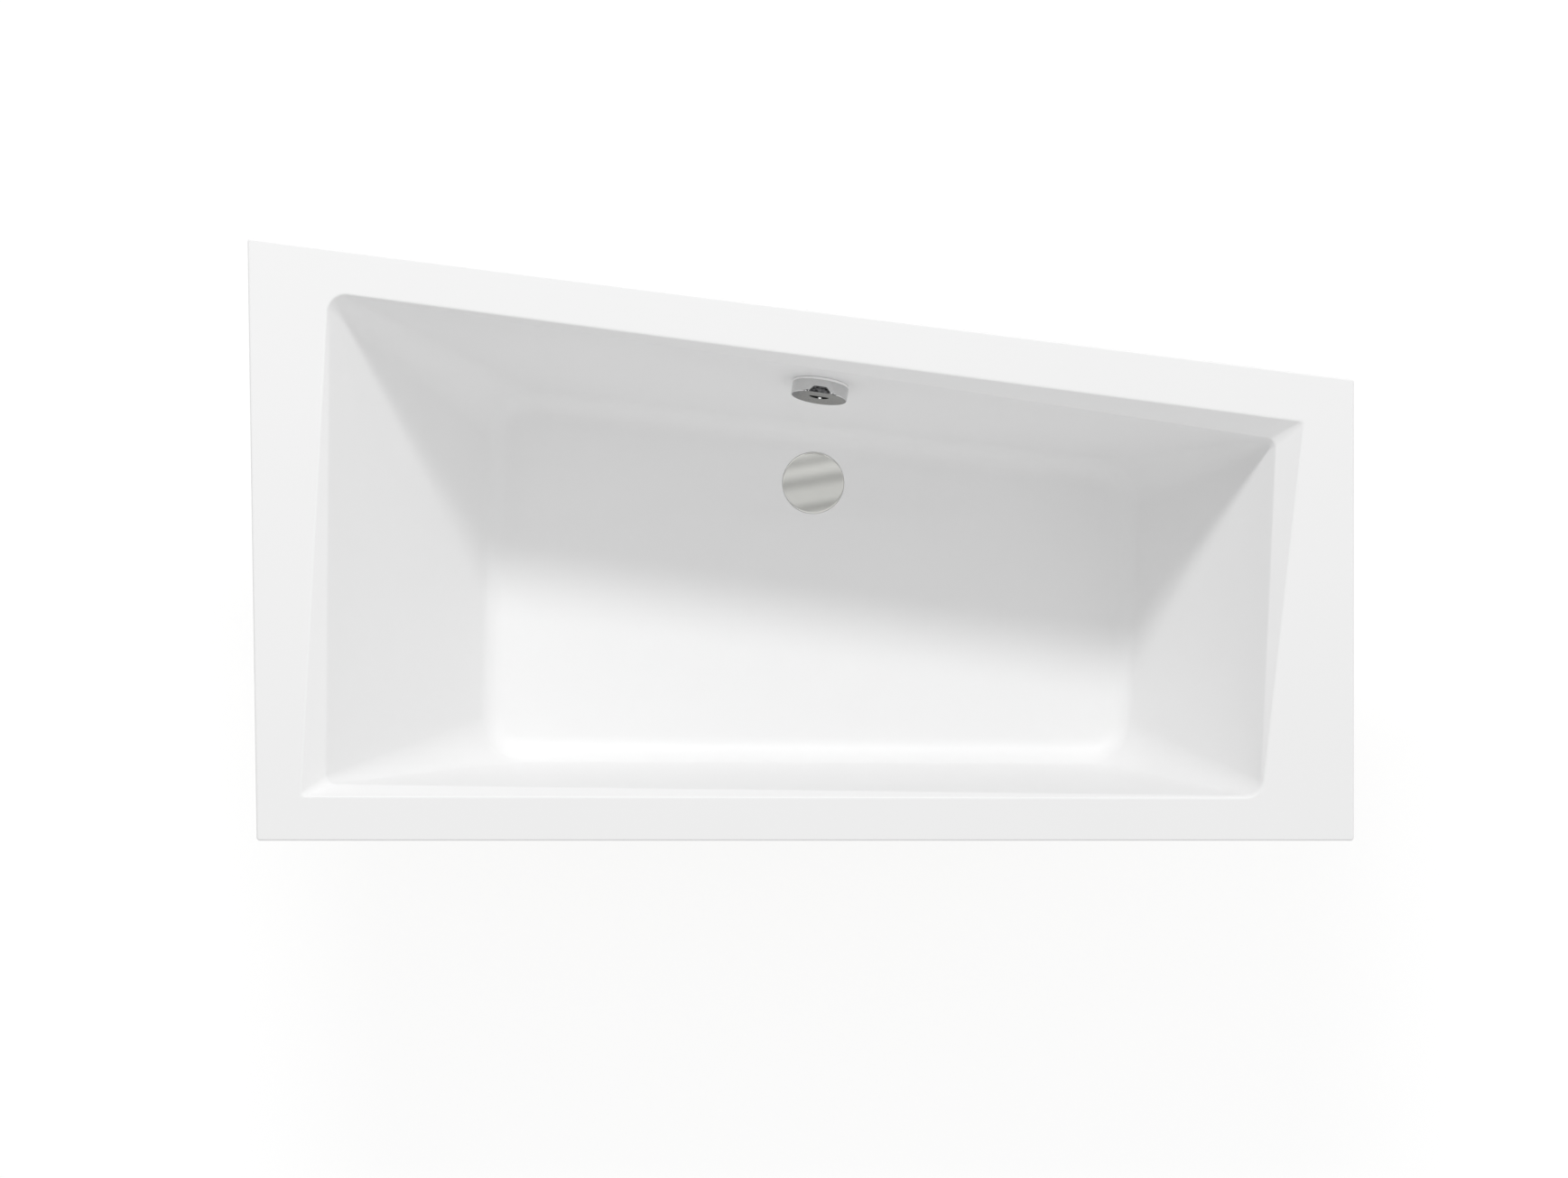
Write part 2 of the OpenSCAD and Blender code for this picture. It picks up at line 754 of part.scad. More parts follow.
// Plug: domed chrome cover on a stem, with a seal that shuts the flange's bore
cover_z = plate_z + plate_thickness + 0.5;
cover_edge = 2.5;
cover_dome = 2.5;
plug_neck_d = flange_bore_d - 10;
plug_neck_z = plate_z - 5;
module plug_cover() {
    dome_r = (pow(cover_d / 2, 2) + pow(cover_dome, 2)) / (2 * cover_dome);
    dome_steps = 10;
    top_z = cover_z + cover_edge;
    color("silver")
        at_waste()
            rotate_extrude()
                polygon([
                    [stem_d / 2, plug_neck_z],
                    [plug_neck_d / 2, plug_neck_z],
                    [plug_neck_d / 2, cover_z],
                    [cover_d / 2 - 0.5, cover_z],
                    [cover_d / 2, cover_z + 0.5],
                    for (i = [0:dome_steps])
                        let (x = cover_d / 2 * (1 - i / dome_steps))
                        if (x >= stem_d / 2)
                            [x, top_z + sqrt(dome_r * dome_r - x * x) - dome_r + cover_dome],
                    [stem_d / 2, top_z + cover_dome - 0.5],
                ]);
}

module plug_stem() {
    color("silver")
        at_waste()
            translate([0, 0, stem_foot_z])
                cylinder(d = stem_d, h = cover_z + cover_edge + cover_dome - 0.5 - stem_foot_z);
}

module plug_seal() {
    outer = flange_bore_d - 2 * body_gap;
    color("black")
        at_waste()
            rotate_extrude()
                polygon([
                    [plug_neck_d / 2, plug_neck_z],
                    [outer / 2 - 1.5, plug_neck_z],
                    [outer / 2, plug_neck_z + 2],
                    [outer / 2, plug_neck_z + 4],
                    [plug_neck_d / 2, plug_neck_z + 4],
                ]);
}

// Trap: a bend under the waste, a riser, and an elbow that leads to the front
inlet_split_z = tail_z - 1;
trap_low_z = inlet_split_z - inlet_leg;
elbow_bend = 30;
nut_d = pipe_d + 14;
trap_nut_height = 16;
outlet_split_z = trap_low_z + 10;
riser_top_z = outlet_split_z + 9;
outlet_z = riser_top_z + elbow_bend;
riser_y = -2 * trap_bend;

// A pipe's section as a circle, less its bore
module pipe_section(d, bore) {
    difference() {
        circle(d = d);
        circle(d = bore);
    }
}

module trap_bend_pipe() {
    color("whitesmoke")
        at_waste() {
            union() {
                ring_tube(pipe_d, pipe_bore_d, trap_low_z, inlet_split_z);
                translate([0, riser_y, 0])
                    ring_tube(pipe_d, pipe_bore_d, trap_low_z, outlet_split_z);
                translate([0, -trap_bend, trap_low_z])
                    rotate([0, 90, 0])
                        rotate([0, 0, -90])
                            rotate_extrude(angle = 180)
                                translate([trap_bend, 0])
                                    pipe_section(pipe_d, pipe_bore_d);
            }
        }
}

// A union nut with ribs to grip, over the joint at height z
module union_nut(z) {
    ribs = 12;
    difference() {
        union() {
            translate([0, 0, z - trap_nut_height / 2]) cylinder(d = nut_d - 4, h = trap_nut_height);
            for (i = [0:ribs - 1])
                rotate([0, 0, i * 360 / ribs])
                    translate([nut_d / 2 - 4, -2.5, z - trap_nut_height / 2])
                        cube([4, 5, trap_nut_height - 3]);
        }
        translate([0, 0, z - trap_nut_height])
            cylinder(d = pipe_d + 2 * running_gap, h = 2 * trap_nut_height);
    }
}

module trap_inlet_nut() {
    color("whitesmoke") at_waste() union_nut(inlet_split_z);
}
module trap_outlet_nut() {
    color("whitesmoke") at_waste() translate([0, riser_y, 0]) union_nut(outlet_split_z);
}
module trap_inlet_seal() {
    color("black") at_waste() ring_tube(pipe_d, pipe_bore_d, inlet_split_z, tail_z);
}
module trap_outlet_seal() {
    color("black")
        at_waste()
            translate([0, riser_y, 0])
                ring_tube(pipe_d, pipe_bore_d, outlet_split_z, outlet_split_z + 1);
}

module outlet_pipe() {
    color("whitesmoke")
        at_waste()
            translate([0, riser_y, 0]) {
                ring_tube(pipe_d, pipe_bore_d, outlet_split_z + 1, riser_top_z);
                translate([0, -elbow_bend, riser_top_z])
                    rotate([0, 90, 0])
                        rotate([0, 0, 90])
                            rotate_extrude(angle = 90)
                                translate([elbow_bend, 0])
                                    pipe_section(pipe_d, pipe_bore_d);
                translate([0, -elbow_bend, outlet_z])
                    rotate([90, 0, 0])
                        linear_extrude(outlet_free)
                            pipe_section(pipe_d, pipe_bore_d);
            }
}

// Overflow, behind the back wall; local heights are measured from the wall's inner face
// A flat seat is cut into the laminate for the gasket
seat_depth = 1.2;
seat_back = skin + lamina_gap + laminate_coat - seat_depth;
wall_back = seat_back + lamina_gap;
body_front = -wall_back - gasket_thickness;
overflow_body_d = overflow_hole_d + 18;
overflow_bore_d = overflow_hole_d + 8;
overflow_body_depth = 44;
overflow_neck = 8;
body_rear = body_front - overflow_body_depth;
spigot_at = body_front - overflow_body_depth / 2;
spigot_reach = overflow_body_d / 2 + 22;
overflow_tube_d = overflow_hole_d - 4;
overflow_tube_bore = overflow_tube_d - 2 * fitting_wall;
spindle_d = 8;
cable_side = 27;
cable_spigot_reach = overflow_body_d / 2 + 8;

module overflow_body() {
    color("whitesmoke")
        at_overflow()
            difference() {
                union() {
                    translate([0, 0, body_rear]) cylinder(d = overflow_body_d, h = overflow_body_depth);
                    translate([0, 0, spigot_at])
                        rotate([90, 0, 0]) cylinder(d = hose_d, h = spigot_reach);
                    translate([cable_side, 0, spigot_at])
                        rotate([90, 0, 0]) cylinder(d = cable_port_d, h = cable_spigot_reach);
                }
                translate([0, 0, body_rear + fitting_wall])
                    cylinder(
                        d = overflow_bore_d,
                        h = overflow_body_depth - fitting_wall - overflow_neck
                    );
                translate([0, 0, spigot_at])
                    cylinder(d = overflow_tube_d + 2 * running_gap, h = overflow_body_depth);
                translate([0, 0, spigot_at])
                    rotate([90, 0, 0]) cylinder(d = hose_bore_d, h = spigot_reach + 1);
                translate([cable_side, 0, spigot_at])
                    rotate([90, 0, 0]) cylinder(d = cable_hole_d, h = cable_spigot_reach + 1);
            }
}

module overflow_gasket() {
    color("black")
        at_overflow() ring_tube(overflow_body_d, overflow_bore_d, body_front, -wall_back);
}

// Front flange with a hub for the spindle; its tube screws into the body
overflow_flange_d = overflow_hole_d + 14;
overflow_plate = 2.5;
module overflow_flange() {
    hub_z = -10;
    hub_height = 8;
    face = body_gap;
    tube_end = body_front - overflow_neck + 1;
    color("silver")
        at_overflow()
            union() {
                rotate_extrude()
                    polygon([
                        [overflow_tube_bore / 2, tube_end],
                        [overflow_tube_d / 2, tube_end],
                        [overflow_tube_d / 2, face],
                        [overflow_flange_d / 2, face],
                        [overflow_flange_d / 2, face + overflow_plate - 1],
                        [overflow_flange_d / 2 - 1, face + overflow_plate],
                        [overflow_tube_bore / 2, face + overflow_plate],
                    ]);
                difference() {
                    translate([0, 0, hub_z]) {
                        cylinder(d = spindle_d + 8, h = hub_height);
                        for (a = [30, 150, 270])
                            rotate([0, 0, a])
                                translate([0, -spider_arm / 2, 0])
                                    cube([overflow_tube_bore / 2 + 1, spider_arm, hub_height]);
                    }
                    translate([0, 0, hub_z - 1])
                        cylinder(d = spindle_d + 2 * running_gap, h = hub_height + 2);
                }
            }
}

// Knob: a shallow cup with a chamfered face, a finger notch at the top and a slot in the face
knob_face = knob_gap + knob_height;
knob_wall = 3;
knob_boss_d = 18;
grub_z = knob_gap + 8;
grub_d = 4;
module overflow_knob() {
    chamfer = 2;
    notch_wide = 36;
    notch_narrow = 20;
    notch_deep = 10;
    notch_high = 9;
    slot_wide = 30;
    slot_deep = 1.5;
    slot_r = 60;
    color("silver")
        at_overflow()
            difference() {
                rotate_extrude()
                    polygon([
                        [knob_d / 2 - knob_wall, knob_gap],
                        [knob_d / 2, knob_gap],
                        [knob_d / 2, knob_face - chamfer],
                        [knob_d / 2 - chamfer, knob_face],
                        [0, knob_face],
                        [0, knob_face - knob_wall],
                        [spindle_d / 2, knob_face - knob_wall],
                        [spindle_d / 2, knob_gap + 2],
                        [knob_boss_d / 2, knob_gap + 2],
                        [knob_boss_d / 2, knob_face - knob_wall],
                        [knob_d / 2 - knob_wall, knob_face - knob_wall],
                    ]);
                translate([0, 0, grub_z]) rotate([90, 0, 0]) cylinder(d = grub_d, h = knob_boss_d);
                translate([0, knob_d / 2 + 1, knob_face])
                    rotate([90, 0, 0])
                        linear_extrude(notch_deep)
                            polygon([
                                [-notch_wide / 2, 1],
                                [-notch_narrow / 2, -notch_high],
                                [notch_narrow / 2, -notch_high],
                                [notch_wide / 2, 1],
                            ]);
                translate([0, knob_d / 2 - 32, knob_face - slot_deep])
                    intersection() {
                        translate([0, slot_r - 3, 0]) cylinder(r = slot_r, h = slot_deep + 1);
                        translate([0, 3 - slot_r, 0]) cylinder(r = slot_r, h = slot_deep + 1);
                        translate([-slot_wide / 2, -10, -1]) cube([slot_wide, 20, slot_deep + 3]);
                    }
            }
}

module knob_spindle() {
    color("silver")
        at_overflow()
            translate([0, 0, body_rear + fitting_wall + 6])
                cylinder(d = spindle_d, h = knob_face - knob_wall - body_rear - fitting_wall - 6);
}

// The crank that winds the cable, on the spindle inside the overflow body
module knob_crank() {
    thick = 6;
    hub = 20;
    arm = 20;
    eye = 8;
    crank_z = spigot_at - thick / 2;
    color("ivory")
        at_overflow()
            difference() {
                translate([0, 0, crank_z])
                    linear_extrude(thick)
                        union() {
                            circle(d = hub);
                            rotate([0, 0, -20]) translate([0, -eye / 2]) square([arm, eye]);
                            rotate([0, 0, -20]) translate([arm, 0]) circle(d = eye);
                        }
                translate([0, 0, crank_z - 1]) cylinder(d = spindle_d, h = thick + 2);
            }
}

// The grub screw in the knob's boss, which holds the knob on the spindle
module knob_grub_screw() {
    reach = knob_boss_d / 2 - 1;
    key_d = 2;
    key_depth = 2;
    color("dimgray")
        at_overflow()
            difference() {
                translate([0, 0, grub_z]) rotate([90, 0, 0]) cylinder(d = grub_d, h = reach);
                cylinder(d = spindle_d, h = knob_face);
                translate([0, key_depth - reach, grub_z])
                    rotate([90, 0, 0]) cylinder(d = key_d, h = key_depth + 1, $fn = 6);
            }
}

// Hose: down along the back wall, round a bend, and level into the waste's port
function wall_point(local) =
    let (lean = 90 - overflow_lean)
    let (y = local.y * cos(lean) - local.z * sin(lean))
    let (z = local.y * sin(lean) + local.z * cos(lean))
    [
        overflow_x + local.x * cos(wall_yaw) - y * sin(wall_yaw),
        overflow_y + local.x * sin(wall_yaw) + y * cos(wall_yaw),
        rim_height - overflow_depth + z
    ];

// Points along a smooth curve through a route, four to each stretch
function curve_point(p, q, r, s, t) =
    0.5 * (
        2 * q + (r - p) * t + (2 * p - 5 * q + 4 * r - s) * t * t
            + (3 * q - p - 3 * r + s) * t * t * t
    );
function smooth_route(route, steps) = [
    for (i = [0:len(route) - 2])
        for (k = [0:steps - 1])
            curve_point(
                route[max(i - 1, 0)], route[i], route[i + 1],
                route[min(i + 2, len(route) - 1)], k / steps
            ),
    route[len(route) - 1]
];
// The direction of a path at point i, and the side vector carried along it without twist
function path_dir(path, i) = unit(path[min(i + 1, len(path) - 1)] - path[max(i - 1, 0)]);
function path_side(path, i, side) = unit(side - path_dir(path, i) * (side * path_dir(path, i)));
function path_sides(path, i, sides) =
    i == len(path) ? sides
        : path_sides(path, i + 1, concat(sides, [path_side(path, i, sides[i - 1])]));
function tube_ring(centre, dir, side, r, n) =
    let (up = cross(dir, side))
    [for (k = [0:n - 1]) centre + r * (cos(k * 360 / n) * side + sin(k * 360 / n) * up)];

// A tube with n sides along a path; bore 0 makes it solid
module swept_tube(path, r, bore, n, first_side) {
    count = len(path);
    sides = path_sides(path, 1, [path_side(path, 0, first_side)]);
    outer = [for (i = [0:count - 1]) each tube_ring(path[i], path_dir(path, i), sides[i], r, n)];
    inner = bore == 0 ? []
        : [for (i = [0:count - 1]) each tube_ring(path[i], path_dir(path, i), sides[i], bore, n)];
    base = count * n;
    end = (count - 1) * n;
    walls = [
        for (i = [0:count - 2])
            for (k = [0:n - 1])
                let (a = i * n + k)
                let (b = i * n + (k + 1) % n)
                each [[a, a + n, b + n], [a, b + n, b]]
    ];
    ends = bore == 0
        ? [[for (k = [0:n - 1]) k], [for (k = [n - 1:-1:0]) end + k]]
        : [
            for (k = [0:n - 1])
                let (b = (k + 1) % n)
                each [
                    [k, b, base + b], [k, base + b, base + k],
                    [end + k, base + end + b, end + b],
                    [end + k, base + end + k, base + end + b]
                ]
        ];
    inner_walls = bore == 0 ? [] : [for (w = walls) [base + w[0], base + w[2], base + w[1]]];
    polyhedron(points = concat(outer, inner), faces = concat(walls, ends, inner_walls));
}

// Both hose ends are butted to their spigots inside the hose nuts
hose_top = wall_point([0, -spigot_reach - body_gap, spigot_at]);
hose_foot = [waste_x, waste_y + port_reach + body_gap, port_z];
hose_stub = 10;
hose_dir = unit(wall_point([0, -spigot_reach - 1, spigot_at]) - hose_top);
// Hose and cable run down the wall by these parts of its height, clear of the laminate
wall_height = rim_height - overflow_depth - floor_z;
hose_parts = [0.12, 0.37, 0.62];
cable_parts = [0.12, 0.43, 0.71];
hose_clear = hose_d * 1.1;
route_back_y = max(floor_back(waste_x) + hose_clear, hose_foot.y + hose_bend);
hose_route = [
    hose_top,
    for (part = hose_parts) hose_top + hose_dir * wall_height * part,
    [waste_x + hose_d / 8, route_back_y, floor_z + hose_d * 0.4],
    [waste_x, route_back_y - hose_d * 0.6, port_z + hose_d * 0.75],
    [waste_x, hose_foot.y + hose_d * 0.75, port_z + hose_d / 16],
    hose_foot + [0, hose_stub, 0],
];
module overflow_hose() {
    path = concat(smooth_route(hose_route, 4), [hose_foot]);
    color("lightgray")
        in_tub()
            swept_tube(path, hose_d / 2, hose_bore_d / 2, 16, [1, 0, 0]);
}

module hose_nut() {
    difference() {
        cylinder(d = hose_d + 10, h = 18, center = true);
        cylinder(d = hose_d + 2 * running_gap, h = 20, center = true);
    }
}
module hose_upper_nut() {
    color("whitesmoke")
        at_overflow()
            translate([0, -spigot_reach, spigot_at]) rotate([90, 0, 0]) hose_nut();
}
module hose_lower_nut() {
    color("whitesmoke")
        at_waste()
            translate([0, port_reach, port_z]) along_y() hose_nut();
}

// Cable: from the overflow body down beside the hose and round into the waste's cable port
cable_seat = 6;
cable_seat_y = cable_seat - cable_spigot_reach;
cable_top = wall_point([cable_side, cable_seat_y, spigot_at]);
cable_dir = unit(wall_point([cable_side, cable_seat_y - 1, spigot_at]) - cable_top);
cable_foot = [waste_x + cable_port_reach - cable_seat, waste_y, cable_port_z];
cable_loop = cable_d * 20;
cable_route = [
    cable_top,
    for (part = cable_parts) cable_top + cable_dir * wall_height * part,
    [waste_x + cable_loop * 0.48, route_back_y + cable_d * 3, floor_z + cable_d * 2],
    [waste_x + cable_loop * 0.77, route_back_y + cable_d, board_z - cable_d * 4],
    [waste_x + cable_loop, mix(waste_y, route_back_y, 0.56), cable_port_z],
    [waste_x + cable_loop * 0.87, waste_y + cable_d * 2, cable_port_z],
    [cable_foot.x + cable_d * 3.5, waste_y, cable_port_z],
    cable_foot + [cable_seat + 2, 0, 0],
];
module cable() {
    path = concat(smooth_route(cable_route, 5), [cable_foot]);
    color("dimgray")
        in_tub()
            swept_tube(path, cable_d / 2, 0, 8, [1, 0, 0]);
}

tub_shell();
laminate();
base_board();
rim_batten(0);  // rim_batten_back
rim_batten(1);  // rim_batten_right
rim_batten(2);  // rim_batten_front
rim_batten(3);  // rim_batten_left
leg_rail(left_rail_x);  // leg_rail_left
leg_rail(right_rail_at);  // leg_rail_right
rail_screws();
foot_rod(left_rail_x, foot_front(left_rail_x));  // foot_rod_left_front
foot_rod(left_rail_x, foot_back(left_rail_x));  // foot_rod_left_back
foot_rod(right_rail_at, foot_front(right_rail_at));  // foot_rod_right_front
foot_rod(right_rail_at, foot_back(right_rail_at));  // foot_rod_right_back
foot_pad(left_rail_x, foot_front(left_rail_x));  // foot_pad_left_front
foot_pad(left_rail_x, foot_back(left_rail_x));  // foot_pad_left_back
foot_pad(right_rail_at, foot_front(right_rail_at));  // foot_pad_right_front
foot_pad(right_rail_at, foot_back(right_rail_at));  // foot_pad_right_back
foot_nuts(left_rail_x, foot_front(left_rail_x));  // foot_nuts_left_front
foot_nuts(left_rail_x, foot_back(left_rail_x));  // foot_nuts_left_back
foot_nuts(right_rail_at, foot_front(right_rail_at));  // foot_nuts_right_front
foot_nuts(right_rail_at, foot_back(right_rail_at));  // foot_nuts_right_back
waste_flange();
waste_seal();
waste_gasket();
waste_body();
lift_lever();
lever_pin();
plug_cover();
plug_stem();
plug_seal();
trap_bend_pipe();
trap_inlet_nut();
trap_inlet_seal();
trap_outlet_nut();
trap_outlet_seal();
outlet_pipe();
overflow_body();
overflow_gasket();
overflow_flange();
overflow_hose();
hose_upper_nut();
hose_lower_nut();
cable();
overflow_knob();
knob_spindle();
knob_crank();
knob_grub_screw();
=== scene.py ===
"""Dresses the asymmetric acrylic bathtub: skin, backing, legs, waste and overflow."""

import json
import logging
import math
from dataclasses import dataclass, field
from enum import Enum
from typing import Sequence

import bmesh
import bpy
from mathutils import Matrix, Vector


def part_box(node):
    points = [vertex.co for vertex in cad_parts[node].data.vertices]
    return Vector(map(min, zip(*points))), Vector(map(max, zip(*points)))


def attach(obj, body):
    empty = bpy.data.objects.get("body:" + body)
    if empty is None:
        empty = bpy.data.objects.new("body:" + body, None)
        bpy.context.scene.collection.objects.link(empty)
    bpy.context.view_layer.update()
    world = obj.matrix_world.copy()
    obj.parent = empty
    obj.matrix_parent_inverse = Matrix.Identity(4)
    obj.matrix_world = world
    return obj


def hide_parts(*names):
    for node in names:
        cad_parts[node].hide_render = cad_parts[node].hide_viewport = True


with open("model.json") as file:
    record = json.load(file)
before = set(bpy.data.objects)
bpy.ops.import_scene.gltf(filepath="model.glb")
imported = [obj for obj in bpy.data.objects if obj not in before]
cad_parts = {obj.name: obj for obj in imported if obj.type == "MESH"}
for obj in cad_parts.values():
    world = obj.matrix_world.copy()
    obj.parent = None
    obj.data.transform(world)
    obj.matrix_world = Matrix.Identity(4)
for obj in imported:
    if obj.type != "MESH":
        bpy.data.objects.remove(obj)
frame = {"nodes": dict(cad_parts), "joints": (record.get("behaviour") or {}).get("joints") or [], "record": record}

LOG = logging.getLogger("bathtub")
MM = 0.001
NO_RADIUS = 1e-6
SAME_PLACE = 1e-7
SHORTEST_FLAT = 0.42
SHORTEST_HOLD = 0.48
FOLD_HOLD = 1.6
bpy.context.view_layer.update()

Colour = tuple[float, float, float]
Object = bpy.types.Object
Socket = bpy.types.NodeSocket
Input = float | tuple[float, ...] | Socket
Outline = Sequence[tuple[float, float]]
Ring = list[Vector]
Row = list[bmesh.types.BMVert]


# ---------------------------------------------------------------- plan of the tub


def unit(v: Vector) -> Vector:
    """Returns v at length 1."""
    return v.normalized()


def leftward(v: Vector) -> Vector:
    """Returns the plan vector v turned a quarter turn to the left."""
    return Vector((-v.y, v.x))


def mix(a: Vector | float, b: Vector | float, t: float) -> Vector | float:
    """Returns the value the part t of the way from a to b."""
    return a + (b - a) * t


def moved(corners: Sequence[Vector], moves: Sequence[float]) -> list[Vector]:
    """Moves the sides of a four-sided outline outward.

    Args:
        corners: The outline's corners, clockwise seen from above.
        moves: How far each side moves, side k running from corner k to corner k + 1.

    Returns:
        The corners of the moved outline.
    """
    result = []
    for k in range(4):
        before = unit(corners[k] - corners[(k + 3) % 4])
        after = unit(corners[(k + 1) % 4] - corners[k])
        a = corners[k] + leftward(before) * moves[(k + 3) % 4]
        b = corners[k] + leftward(after) * moves[k]
        share = (b - a).cross(after) / before.cross(after)
        result.append(a + before * share)
    return result


def grown(corners: Sequence[Vector], by: float) -> list[Vector]:
    """Returns a four-sided outline with every side moved outward by the same distance."""
    return moved(corners, [by] * 4)


@dataclass(frozen=True)
class RingMesh:
    """How finely a ring round the tub is divided."""

    corner_steps: int = 14
    side_steps: int = 36

    def corner_arc(
        self,
        before: Vector,
        corner: Vector,
        after: Vector,
        radius: float,
        rise: tuple[float, float],
    ) -> Ring:
        """Rounds one corner of an outline.

        Args:
            before: The corner before this one.
            corner: The corner to round.
            after: The corner after this one.
            radius: Radius of the rounding.
            rise: Height at the arc's start and at its end.

        Returns:
            The arc's points.
        """
        a = unit(before - corner)
        b = unit(after - corner)
        half = math.acos(max(-1.0, min(1.0, a.dot(b)))) / 2
        centre = corner + unit(a + b) * radius / math.sin(half)
        start = corner + a * radius / math.tan(half) - centre
        angle = math.atan2(start.y, start.x)
        points = []
        for i in range(self.corner_steps + 1):
            share = i / self.corner_steps
            turn = angle - (math.pi - 2 * half) * share
            x = centre.x + radius * math.cos(turn)
            y = centre.y + radius * math.sin(turn)
            points.append(Vector((x, y, mix(rise[0], rise[1], share))))
        return points

    def ring(
        self,
        corners: Sequence[Vector],
        radii: Sequence[float],
        rises: Sequence[tuple[float, float]],
    ) -> Ring:
        """Draws a ring of points round a four-sided outline.

        Args:
            corners: The outline's corners, clockwise.
            radii: The rounding of each corner.
            rises: The height before and after each corner.

        Returns:
            The ring's points, the same number for every outline.
        """
        arcs = [
            self.corner_arc(
                corners[(k + 3) % 4], corners[k], corners[(k + 1) % 4], radii[k], rises[k]
            )
            for k in range(4)
        ]
        points = []
        for k in range(4):
            points.extend(arcs[k])
            start, end = arcs[k][-1], arcs[(k + 1) % 4][0]
            points.extend(
                mix(start, end, i / self.side_steps) for i in range(1, self.side_steps)
            )
        return points

    def flat(self, corners: Sequence[Vector], radii: Sequence[float], z: float) -> Ring:
        """Returns a ring that lies level at height z."""
        return self.ring(corners, radii, [(z, z)] * 4)


@dataclass(frozen=True)
class TubPlan:
    """The tub's sizes in millimetres, from the front left of the rim's bounding box.

    A pair gives a distance along X and one along Y: the deck's widths, the facets' runs and
    how far each corner of the floor lies from the basin's corner over it.
    """

    length: float = 1700
    left_depth: float = 926
    right_depth: float = 709
    left_lean: float = 14
    rim_height: float = 600
    lip_height: float = 38
    skin: float = 5
    edge_radius: float = 3
    rim_corner_radius: float = 5.3
    deck_back_left: tuple[float, float] = (126, 70)
    deck_back_right: tuple[float, float] = (80, 78)
    deck_front_right: tuple[float, float] = (144, 69)
    deck_front_left: tuple[float, float] = (71, 71)
    facet_drop: float = 28
    facet_run_back: tuple[float, float] = (37, 24)
    facet_run_front: tuple[float, float] = (33, 15)
    basin_depth: float = 430
    floor_in: tuple[tuple[float, float], ...] = (
        (228, -128),
        (-189, -31),
        (-179, 35),
        (222, 22),
    )
    open_corner_radius: float = 26
    sunk_corner_radius: float = 15
    low_corner_radius: float = 64
    floor_fillet: float = 42
    mesh: RingMesh = field(default_factory=RingMesh)

    def back_line(self, x: float) -> float:
        """Returns the depth of the slanted back side at x."""
        return mix(self.left_depth, self.right_depth, x / self.length)

    @property
    def floor_z(self) -> float:
        """Height of the basin's floor."""
        return self.rim_height - self.basin_depth

    @property
    def rim_corners(self) -> list[Vector]:
        """The rim's corners: back left, back right, front right, front left."""
        return [
            Vector((0, self.left_depth)),
            Vector((self.length, self.right_depth)),
            Vector((self.length, 0)),
            Vector((self.left_lean, 0)),
        ]

    @property
    def open_corners(self) -> list[Vector]:
        """The corners of the opening in the deck."""
        left, back = self.deck_back_left
        right, back_right = self.deck_back_right
        far = self.length - right
        return [
            Vector((left, self.back_line(left) - back)),
            Vector((far, self.back_line(far) - back_right)),
            Vector((self.length - self.deck_front_right[0], self.deck_front_right[1])),
            Vector((self.left_lean + self.deck_front_left[0], self.deck_front_left[1])),
        ]

    @property
    def basin_corners(self) -> list[Vector]:
        """The corners of the turned basin's upper edge."""
        corners = self.open_corners
        corners[1] = corners[1] - Vector(self.facet_run_back)
        corners[3] = corners[3] + Vector(self.facet_run_front)
        return corners

    @property
    def floor_corners(self) -> list[Vector]:
        """The corners where walls and floor would meet without their fillet."""
        return [c + Vector(step) for c, step in zip(self.basin_corners, self.floor_in)]

    @property
    def basin_drops(self) -> list[float]:
        """How far the basin's upper edge lies below the rim at each corner."""
        touch = self.edge_radius
        sunk = self.facet_drop - self.edge_radius
        return [touch, sunk, touch, sunk]

    @property
    def open_radii(self) -> list[float]:
        """The rounding of the opening's corners."""
        return [self.open_corner_radius, self.edge_radius] * 2

    @property
    def basin_radii(self) -> list[float]:
        """The rounding of the corners of the basin's upper edge."""
        return [self.open_corner_radius, self.sunk_corner_radius] * 2

    def wall_lean(self, k: int) -> float:
        """Works out how far a wall leans.

        Args:
            k: The wall's number, from the back wall at 0.

        Returns:
            Its lean from the vertical, in radians.
        """
        basin, floor = self.basin_corners, self.floor_corners
        top = (basin[k] + basin[(k + 1) % 4]) / 2
        along = unit(floor[(k + 1) % 4] - floor[k])
        run = (top - floor[k]).dot(leftward(along))
        drops = self.basin_drops
        drop = (drops[k] + drops[(k + 1) % 4]) / 2 + self.edge_radius
        return math.atan2(run, self.basin_depth - drop)

    def fillet_reach(self, k: int) -> float:
        """Returns how far from wall k's foot its fillet meets the floor."""
        return self.floor_fillet * math.tan((math.pi / 2 - self.wall_lean(k)) / 2)

    def inset_floor(self, insets: Sequence[float], rises: Sequence[float]) -> Ring:
        """Draws a ring inside the lines where the walls and the floor would meet.

        Args:
            insets: How far the ring lies inside each line.
            rises: Its height along each line.

        Returns:
            The ring's points.
        """
        radii = [
            self.low_corner_radius - (insets[(k + 3) % 4] + insets[k]) / 2 for k in range(4)
        ]
        corners = moved(self.floor_corners, [-i for i in insets])
        return self.mesh.ring(corners, radii, [(rises[(k + 3) % 4], rises[k]) for k in range(4)])

